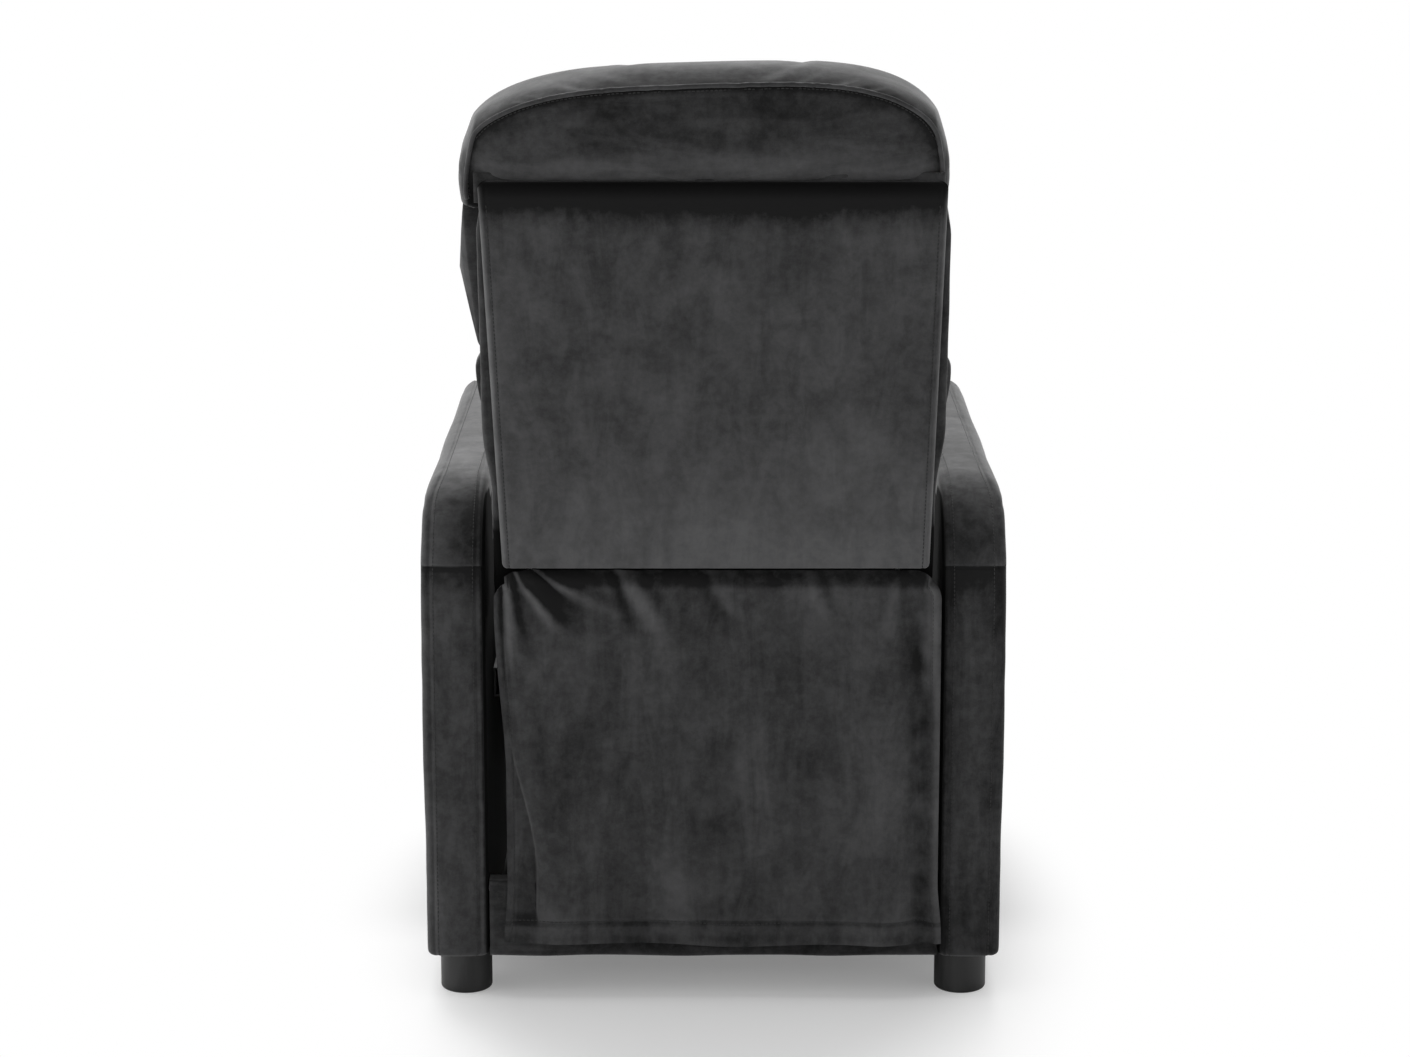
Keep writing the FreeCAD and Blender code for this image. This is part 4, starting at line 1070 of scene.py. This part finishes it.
# A cushion's side view is a smooth closed line through its knots; it is carried across and swelled.
# The points for which still is true are pinned.
def cushion(name, size, knots, still, placed):
    loop = closedSpline(np.array(knots), size["around"])
    middle = np.array([(size["front"] + size["rear"]) / 2, (size["bottom"] + size["top"]) / 2])

    def halfWidth(z):
        return size["halfWidth"] + 0 * z

    points, faces, rows = padGrid(loop, middle, halfWidth, size["across"], size["endPower"], placed)
    piece = newPiece(name, points, faces, tidy=False)
    inflate(piece, np.append(np.tile(still(loop), rows), [False, False]), size["cap"])
    return piece


# seat cushion: a box with a long front roll
seat = {
    "front": -0.4105,
    "rear": 0.1775,
    "bottom": 0.3690,
    "top": 0.4560,
    "halfWidth": 0.2415,
    "crown": 0.006,
    "around": 180,
    "across": 90,
    "endPower": 12,
    "cap": 0.011,
}


def seatPad():
    front, rear, bottom, top = (seat[key] for key in ("front", "rear", "bottom", "top"))
    knots = [
        (rear, bottom + 0.004),
        (rear + 0.001, (bottom + top) / 2),
        (rear - 0.006, top - 0.012),
        (rear - 0.050, top - 0.004),
        (rear - 0.200, top + 0.002),
        (front + 0.200, top + 0.003),
        (front + 0.070, top - 0.001),
        (front + 0.026, top - 0.014),
        (front + 0.004, top - 0.044),
        (front + 0.008, bottom + 0.018),
        (front + 0.026, bottom + 0.001),
        (front + 0.070, bottom),
        (front + 0.300, bottom),
        (rear - 0.060, bottom),
        (rear - 0.012, bottom + 0.0002),
    ]

    def crowned(x, y, z):
        crown = seat["crown"] * (1 - (x / seat["halfWidth"]) ** 2) * ease(z, bottom + 0.03, top)
        return asPlaced(x, y, z + crown)

    piece = cushion("seat_velvet", seat, knots, lambda loop: loop[:, 1] < bottom + 0.006, crowned)
    # painted shade: the rear of the cushion, hidden in the gap under the back, is black lining
    shadowLined = ease(pointsOf(piece)[:, 1], 0.165, 0.175)
    padCover(piece, "across", "seat_carriage", "seat_cushion", velvet["shadowLined"] * shadowLined)
    softer(piece)


seatPad()
print("seat made")

# footrest pad: a flat box with round edges, fixed to its board behind
footrest = {
    "front": -0.4065,
    "rear": -0.3472,
    "bottom": 0.0875,
    "top": 0.3575,
    "halfWidth": 0.2375,
    "around": 110,
    "across": 80,
    "endPower": 14,
    "cap": 0.006,
}


def footrestPad():
    front, rear, bottom, top = (footrest[key] for key in ("front", "rear", "bottom", "top"))
    knots = [
        (rear, bottom + 0.012),
        (rear, (bottom + top) / 2),
        (rear, top - 0.012),
        (rear - 0.008, top - 0.001),
        (rear - 0.024, top),
        (front + 0.009, top - 0.014),
        (front + 0.001, top - 0.060),
        (front, (bottom + top) / 2),
        (front + 0.001, bottom + 0.060),
        (front + 0.009, bottom + 0.014),
        (rear - 0.024, bottom),
        (rear - 0.008, bottom + 0.001),
    ]
    piece = cushion("footrest_velvet", footrest, knots, lambda loop: loop[:, 0] > rear - 0.003, asPlaced)
    padCover(piece, "across", "footrest", "footrest_pad")
    softer(piece)


footrestPad()
print("footrest made")

# loose flap that hangs below the back panel and is tacked to the rear base rail
flap = {
    "left": 0.2400,
    "right": -0.2488,
    "flare": 0.0045,
    "top": 0.4915,
    "hem": 0.0665,
    "out": 0.3085,
    "thick": 0.0022,
    "split": 0.300,
    "corner": 0.030,
    "hemStitch": 0.092,
    "free": 0.145,
    "sideStitch": 0.0085,
    "crease": 0.2300,
    "creaseIn": 0.033,
    "pleatIn": 0.0085,
    "pleatOut": 0.0030,
    "swellAt": -0.188,
    "swell": 0.0046,
    "valleyAt": -0.229,
    "valley": 0.0050,
    "rimOut": 0.0055,
    "unevenBroad": 0.0012,
    "unevenFine": 0.0004,
    "groove": 0.0010,
    "hemOut": 0.0012,
    "hemFlare": 0.0020,
    "across": 170,
    "down": 170,
    # painted light and shade: tone all over, painted highlight on the right rim, light on the swell, shade in the
    # valley, light beside the crease, shade in the pleat, shading by slope aside in the gathers and below them and
    # by slope up, and real pile tone in patches
    "napAndShade": 0.06,
    "litRim": 0.26,
    "litSwell": 0.08,
    "shadeValley": -0.10,
    "litCrease": 0.10,
    "shadePleat": -0.09,
    "slopeLitGather": 0.30,
    "slopeShadeAside": -0.25,
    "slopeShadeUp": -0.25,
    "napPatch": 0.11,
    # gathers under the panel: from (x, z) to (x, z), width and height
    "gathers": [
        ((0.216, 0.494), (0.150, 0.410), 0.0075, 0.0080),
        ((0.202, 0.492), (0.140, 0.450), 0.0065, -0.0075),
        ((0.190, 0.490), (0.080, 0.440), 0.0075, 0.0034),
        ((0.224, 0.488), (0.206, 0.370), 0.0070, 0.0050),
        ((0.231, 0.482), (0.226, 0.360), 0.0045, -0.0040),
        ((0.108, 0.490), (0.066, 0.400), 0.0110, -0.0065),
        ((0.085, 0.490), (0.030, 0.390), 0.0120, 0.0040),
        ((0.010, 0.490), (-0.030, 0.410), 0.0120, -0.0040),
        ((-0.110, 0.490), (-0.130, 0.420), 0.0120, 0.0034),
        ((-0.205, 0.487), (-0.190, 0.380), 0.0100, 0.0046),
    ],
}
flapWide, flapTall = flap["left"] - flap["right"], flap["top"] - flap["hem"]


# Height of a straight fold: a bell across the line from start to end, fading along it.
def fold(x, z, start, end, width, height):
    run = np.array(end) - np.array(start)
    length = np.hypot(*run)
    along = ((x - start[0]) * run[0] + (z - start[1]) * run[1]) / length
    aside = ((x - start[0]) * run[1] - (z - start[1]) * run[0]) / length
    spread = width * (0.55 + 0.9 * np.clip(along / length, 0, 1))
    fade = ease(along, -0.012, 0.010) * (1 - ease(along, 0.35 * length, length))
    return height * bell(aside, spread) * fade


# Share of the pleat at a height, and how far a point lies behind the pleat's crease.
def flapPleat(x, z):
    down = 1 - ease(z, 0.150, 0.350)
    return down, x - (flap["crease"] - flap["creaseIn"] * down)


# The cloth's middle surface over (u, v): a hung rectangle with round upper corners, gathered at its
# upper left corner, pleated at the lower left and drawn in along its right side.
def flapSurface(u, v):
    bow = 0.006 * (1 - ease(v, 0.0, 0.07)) + 0.011 * ease(v, 0.10, 0.55) - 0.004 * ease(v, 0.85, 1.0)
    x = flap["left"] - bow * (1 - u) ** 3 - flapWide * u - flap["flare"] * ease(v, 0.827, 0.98) * u**6
    wavy = 0.0022 * np.sin(7.0 * u + 0.6) + 0.0014 * np.sin(17.0 * u + 2.0)
    z = flap["top"] + (flap["hem"] + wavy - flap["top"]) * v
    x, z = roundCorners(x, z, flap["left"], flap["right"], flap["top"], flap["corner"])
    y = flap["out"] + 0.0016 * np.sin(3.0 * np.pi * u) * v
    y = y - 0.013 * ease(z, flap["top"] - 0.018, flap["top"] + 0.002)
    for start, end, width, height in flap["gathers"]:
        y = y + fold(x, z, start, end, width, height)
    # pleat at the lower left: the strip beside the edge dives under a crease
    down, behind = flapPleat(x, z)
    dive = np.where(behind > 0, np.exp(-behind / 0.026), bell(behind, 0.0022))
    y = y - flap["pleatIn"] * down * ease(z, flap["hemStitch"] - 0.004, flap["hemStitch"] + 0.012) * dive
    y = y + flap["pleatOut"] * down * bell(behind + 0.024, 0.022)
    # soft swell and a puckered valley along the right side
    y = y + flap["swell"] * bell(x - flap["swellAt"], 0.026) * ease(0.46 - z, 0.0, 0.06)
    pucker = 1 + 0.22 * np.sin(z * 61.0 + 1.0) + 0.22 * np.sin(z * 97.0) + 0.16 * np.sin(z * 173.0 + 2.0)
    sway = 0.003 * np.sin(z * 41.0)
    valley = bell(x - flap["valleyAt"] + sway, 0.011) * ease(0.475 - z, 0.0, 0.03)
    y = y - flap["valley"] * valley * pucker
    y = y + flap["rimOut"] * bell((u - 1) * flapWide + 0.004, 0.007)
    here = asPlaced(x, 0.0, z)
    y = y + waves(here, 0.19, 21) * flap["unevenBroad"] + waves(here, 0.07, 22) * flap["unevenFine"]
    # hems: the turned-up cloth stands out a little below its stitching
    sideways = np.minimum(u, 1 - u) * flapWide
    sewn = bell(z - flap["hemStitch"], 0.0018) + bell(sideways - flap["sideStitch"], 0.0014)
    hang = 1 - ease(z, flap["hemStitch"] - 0.004, flap["hemStitch"])
    y = y - flap["groove"] * np.clip(sewn, 0, 1) + flap["hemOut"] * hang
    y = y + flap["hemFlare"] * (1 - ease(z, flap["hem"], flap["hem"] + 0.012))
    return asPlaced(x, y, z)


# The flap's painted light and shade: a highlight along the right edge, shade in its valley and in the pleat,
# shading by slope; and real patchy pile tone all over.
def flapNapAndShade(middle, out):
    x, z = middle[..., 0], middle[..., 2]
    edge = middle[-1:, :, 0]
    napAndShade = flap["napAndShade"] + flap["litRim"] * bell(x - edge - 0.003, 0.0035)
    napAndShade = napAndShade + flap["litSwell"] * bell(x + 0.186, 0.03)
    napAndShade = napAndShade + flap["shadeValley"] * bell(x + 0.230, 0.013) * ease(0.47 - z, 0.0, 0.1)
    low, behind = flapPleat(x, z)
    napAndShade = napAndShade + flap["litCrease"] * low * bell(behind + 0.030, 0.034)
    napAndShade = napAndShade + flap["shadePleat"] * low * ease(behind, -0.003, 0.002)
    gather = ease(z, 0.34, 0.40)
    turned = out[..., 0] * ease(np.abs(out[..., 0]), 0.02, 0.25)
    napAndShade = napAndShade + (flap["slopeLitGather"] * gather + flap["slopeShadeAside"] * (1 - gather)) * turned
    napAndShade = napAndShade + flap["slopeShadeUp"] * out[..., 2]
    return napAndShade + flap["napPatch"] * waves(asPlaced(x, 0.0, z * 0.6), 0.13, 51)


# Both faces of the cloth, closed round the edge; the halves meet at the split with the same normals.
def flapHalf(name, middle, out, thick):
    rows, cols = thick.shape
    size = rows * cols
    quads = gridQuads(rows, cols)
    half = thick[..., None] / 2
    points = np.concatenate([(middle + out * half).reshape(-1, 3), (middle - out * half).reshape(-1, 3)])
    index = np.arange(size).reshape(rows, cols)
    rim = np.concatenate([index[0], index[1:, -1], index[-1, -2::-1], index[-2:0:-1, 0]])
    after = np.roll(rim, -1)
    faces = quads.tolist() + (quads[:, ::-1] + size).tolist()
    faces += np.stack([rim, rim + size, after + size, after], -1).tolist()
    piece = newPiece(name, points, faces)
    normals = np.concatenate([out.reshape(-1, 3), -out.reshape(-1, 3)])
    piece.data.normals_split_custom_set_from_vertices(normals.tolist())
    dress(piece, "upright", None)
    paintShade(piece, np.tile(flapNapAndShade(middle, out).ravel(), 2))
    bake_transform(piece)
    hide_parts("rear_flap")
    return piece


# A line of stitches at (u, v) on the cloth's outer face.
def flapStitches(name, u, v, body):
    line = flapSurface(u, v)
    facing = np.broadcast_to([0.0, 1.0, 0.0], line.shape)
    return stitchRow(name, line + facing * flap["thick"] * 0.55, facing, body)


# The flap is cut at the split into an upper and a lower half, each with its own side stitches.
def rearFlap():
    share = (flap["top"] - flap["split"]) / flapTall
    down = np.sort(np.append(np.linspace(0, 1, flap["down"]), share))
    u, v = np.meshgrid(crowded(flap["across"], 1.5), down, indexing="ij")
    middle = flapSurface(u, v)
    out = unit(np.cross(np.gradient(middle, axis=1), np.gradient(middle, axis=0)))
    out *= np.sign(out[..., 1].mean())
    # the cloth is doubled in the hems and thins to its folded edge
    edge = np.minimum(np.minimum(u, 1 - u) * flapWide, np.minimum(v, 1 - v) * flapTall)
    thick = flap["thick"] * (0.3 + 0.7 * np.sqrt(np.clip(edge / 0.002, 0, 1)))
    cut = int(np.searchsorted(down, share))
    split, top, free = ((0, flap["out"], z) for z in (flap["split"], flap["top"] - 0.02, flap["free"]))
    halves = (
        ("upper", np.s_[:, : cut + 1], ("seat_carriage", "backrest"), split, top),
        ("lower", np.s_[:, cut:], ("base", "seat_carriage"), free, split),
    )
    upperHalf, lowerHalf = (
        flapHalf("flap_" + name, middle[part], out[part], thick[part])
        for name, part, bodies, start, end in halves
    )
    sewn = flap["sideStitch"] / flapWide
    for name, part, bodies, start, end in halves:
        along = np.linspace(v[part].min() + 0.02, v[part].max() - 0.01, 240)
        for tag, edgeU in (("left", sewn), ("right", 1 - sewn)):
            thread = flapStitches("flap_stitches_%s_%s" % (tag, name), np.full(240, edgeU), along, None)
            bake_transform(thread)
    hem = np.full(400, (flap["top"] - flap["hemStitch"]) / flapTall)
    flapStitches("flap_hem_stitches", np.linspace(0.02, 0.98, 400), hem, "base")
    upperFlat, lowerFlat = (flapWide, flap["top"] - flap["split"]), (flapWide, flap["split"] - flap["hem"])


rearFlap()
print("flap made")

# velvet-covered rails between the arms, above the floor, and a velvet facing on the seat's front
# the rail covers are painted darker, as shade low under the chair; the seat apron is 0.1 darker
rail = {"wrap": 0.0015, "round": 0.004, "gap": 0.0005, "uneven": 0.0007, "napAndShade": -0.14}
apron = {"aside": 0.0005, "out": 0.0018, "gap": 0.0002, "under": 0.0005, "round": 0.0007, "napAndShade": -0.1}


# A velvet wrap round a rail: the rail's own box, a little thicker and shorter, with round edges.
def railCover(node, name):
    low, high = (np.array(corner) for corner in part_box(node))
    low = low + [rail["gap"], -rail["wrap"], -rail["wrap"] * 0.3]
    high = high + [-rail["gap"], rail["wrap"], rail["wrap"]]
    piece = softBox(name, low, high, rail["round"], asPlaced, rail["uneven"])
    dress(piece, "across", "base")
    paintShade(piece, rail["napAndShade"])
    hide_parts(node)


# A thin facing in front of the seat's rails, from just under them to their top.
def seatApron():
    low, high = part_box("seat_side_rails")
    near = (low[0] - apron["aside"], low[1] - apron["out"], low[2] - apron["under"])
    far = (high[0] + apron["aside"], low[1] - apron["gap"], high[2])
    piece = softBox("seat_apron", near, far, apron["round"], asPlaced)
    dress(piece, "across", "seat_carriage")
    paintShade(piece, apron["napAndShade"])


railCover("base_rail_rear", "base_rail_velvet")
railCover("base_rail_front", "base_rail_front_velvet")
seatApron()
print("rails made")

# camera at the photograph's place, behind the chair and looking down a little
camera = {"lens": 89.4, "sensor": 36.0, "pitch": 12.6, "place": (0.0093, 4.0215, 1.371)}
studio = {
    "ambient": 0.40,
    "floorColour": 0.80,
    "floorLift": 0.21,
    "liftFrom": -0.02,
    "liftTo": 0.14,
    "floorHalf": 8.0,
    "fadeFrom": 0.50,
    "fadeTo": 0.90,
    "fadeShape": (1.9, 1.0, 1.0),
    # painted shadow: a dark patch under the chair, seen only by the camera; its limits aside are squared distances
    "patchColour": 0.004,
    "patchAside": (0.09, 0.11),
    "patchFront": (-0.36, -0.32),
    "patchRear": (0.0, 0.1),
    "aim": (0.0, 0.0, 0.6),
    "lamps": [
        # name, size, power, place
        ("overFront", 3.0, 150.0, (0.4, -2.4, 3.0)),
        ("overhead", 2.0, 30.0, (0.0, 0.2, 3.6)),
        ("leftSide", 2.2, 30.0, (3.2, 0.9, 1.6)),
        ("rightSide", 2.2, 13.0, (-3.2, 0.9, 1.6)),
    ],
}


def addObject(name, data):
    holder = bpy.data.objects.new(name, data)
    scene.collection.objects.link(holder)
    return holder


def addCamera():
    eye = bpy.data.cameras.new("camera")
    eye.lens = camera["lens"]
    eye.sensor_width = camera["sensor"]
    holder = addObject("camera", eye)
    holder.location = camera["place"]
    holder.rotation_euler = (math.radians(90 - camera["pitch"]), 0, math.pi)
    scene.camera = holder


def addLamps():
    for name, size, power, place in studio["lamps"]:
        lamp = bpy.data.lights.new(name, "AREA")
        lamp.size = size
        lamp.energy = power
        stand = addObject(name, lamp)
        stand.location = place
        aim = np.array(studio["aim"]) - np.array(place)
        tip = math.atan2(np.hypot(aim[0], aim[1]), -aim[2])
        stand.rotation_euler = (tip, 0, math.atan2(aim[1], aim[0]) - math.pi / 2)


# The camera sees the paper fade to white away from the chair; other rays meet plain matt paper.
def paperFinish():
    paper, shade = newMaterial("studio_paper")
    seen = shade.add("ShaderNodeLightPath", {}, {}, "Is Camera Ray")
    matte = shade.add("ShaderNodeBsdfDiffuse", {}, {"Color": grey(studio["floorColour"])})
    here = shade.add("ShaderNodeTexCoord", {}, {}, "Object")
    spot = shade.add("ShaderNodeSeparateXYZ", {}, {"Vector": here}, "Y")
    aside = shade.add("ShaderNodeSeparateXYZ", {}, {"Vector": here}, "X")
    # painted shadow: under the chair the camera sees near-black paper
    hidden = (aside * aside).fit(*studio["patchAside"], 1.0, 0.0) * spot.fit(*studio["patchFront"])
    hidden = hidden * spot.fit(*studio["patchRear"], 1.0, 0.0)
    shaded = shade.add("ShaderNodeBsdfDiffuse", {}, {"Color": grey(studio["patchColour"])})
    lift = shade.add("ShaderNodeEmission", {}, {"Color": grey(1.0), "Strength": studio["floorLift"]})
    brighter = shade.add("ShaderNodeAddShader", {}, {0: matte, 1: lift})
    behind = spot.fit(studio["liftFrom"], studio["liftTo"])
    lifted = shade.mixShaders(behind, shade.mixShaders(hidden, matte, shaded), brighter)
    oval = shade.place(studio["fadeShape"])
    away = shade.add("ShaderNodeVectorMath", {"operation": "LENGTH"}, {0: oval}, "Value")
    white = shade.add("ShaderNodeEmission", {}, {"Color": grey(1.0), "Strength": 1.0})
    faded = shade.mixShaders(away.fit(studio["fadeFrom"], studio["fadeTo"]), lifted, white)
    both = shade.mixShaders(seen, matte, faded)
    shade.add("ShaderNodeOutputMaterial", {}, {"Surface": both})
    return paper


def addFloor():
    half = studio["floorHalf"]
    corners = [(-half, -half, 0), (half, -half, 0), (half, half, 0), (-half, half, 0)]
    mesh = bpy.data.meshes.new("floor")
    mesh.from_pydata(corners, [], [(0, 1, 2, 3)])
    floor = addObject("floor", mesh)
    mesh.materials.append(paperFinish())


# White where it is seen, by eye or in a reflection, and dimmer as a light.
def addSky():
    world = bpy.data.worlds.new("studio")
    scene.world = world
    sky = Shade(world)
    shown = sky.add("ShaderNodeLightPath", {}, {}, "Is Camera Ray")
    for ray in ("Is Glossy Ray", "Is Transmission Ray"):
        shown = shown + sky.add("ShaderNodeLightPath", {}, {}, ray)
    levels = {"Value": shown, "To Min": studio["ambient"], "To Max": 1.0}
    bright = sky.add("ShaderNodeMapRange", {"clamp": True}, levels)
    light = sky.add("ShaderNodeBackground", {}, {"Color": grey(1.0), "Strength": bright})
    sky.add("ShaderNodeOutputWorld", {}, {"Surface": light})


addCamera()
addLamps()
addFloor()
addSky()
scene.view_settings.view_transform = "Standard"
print("studio made")
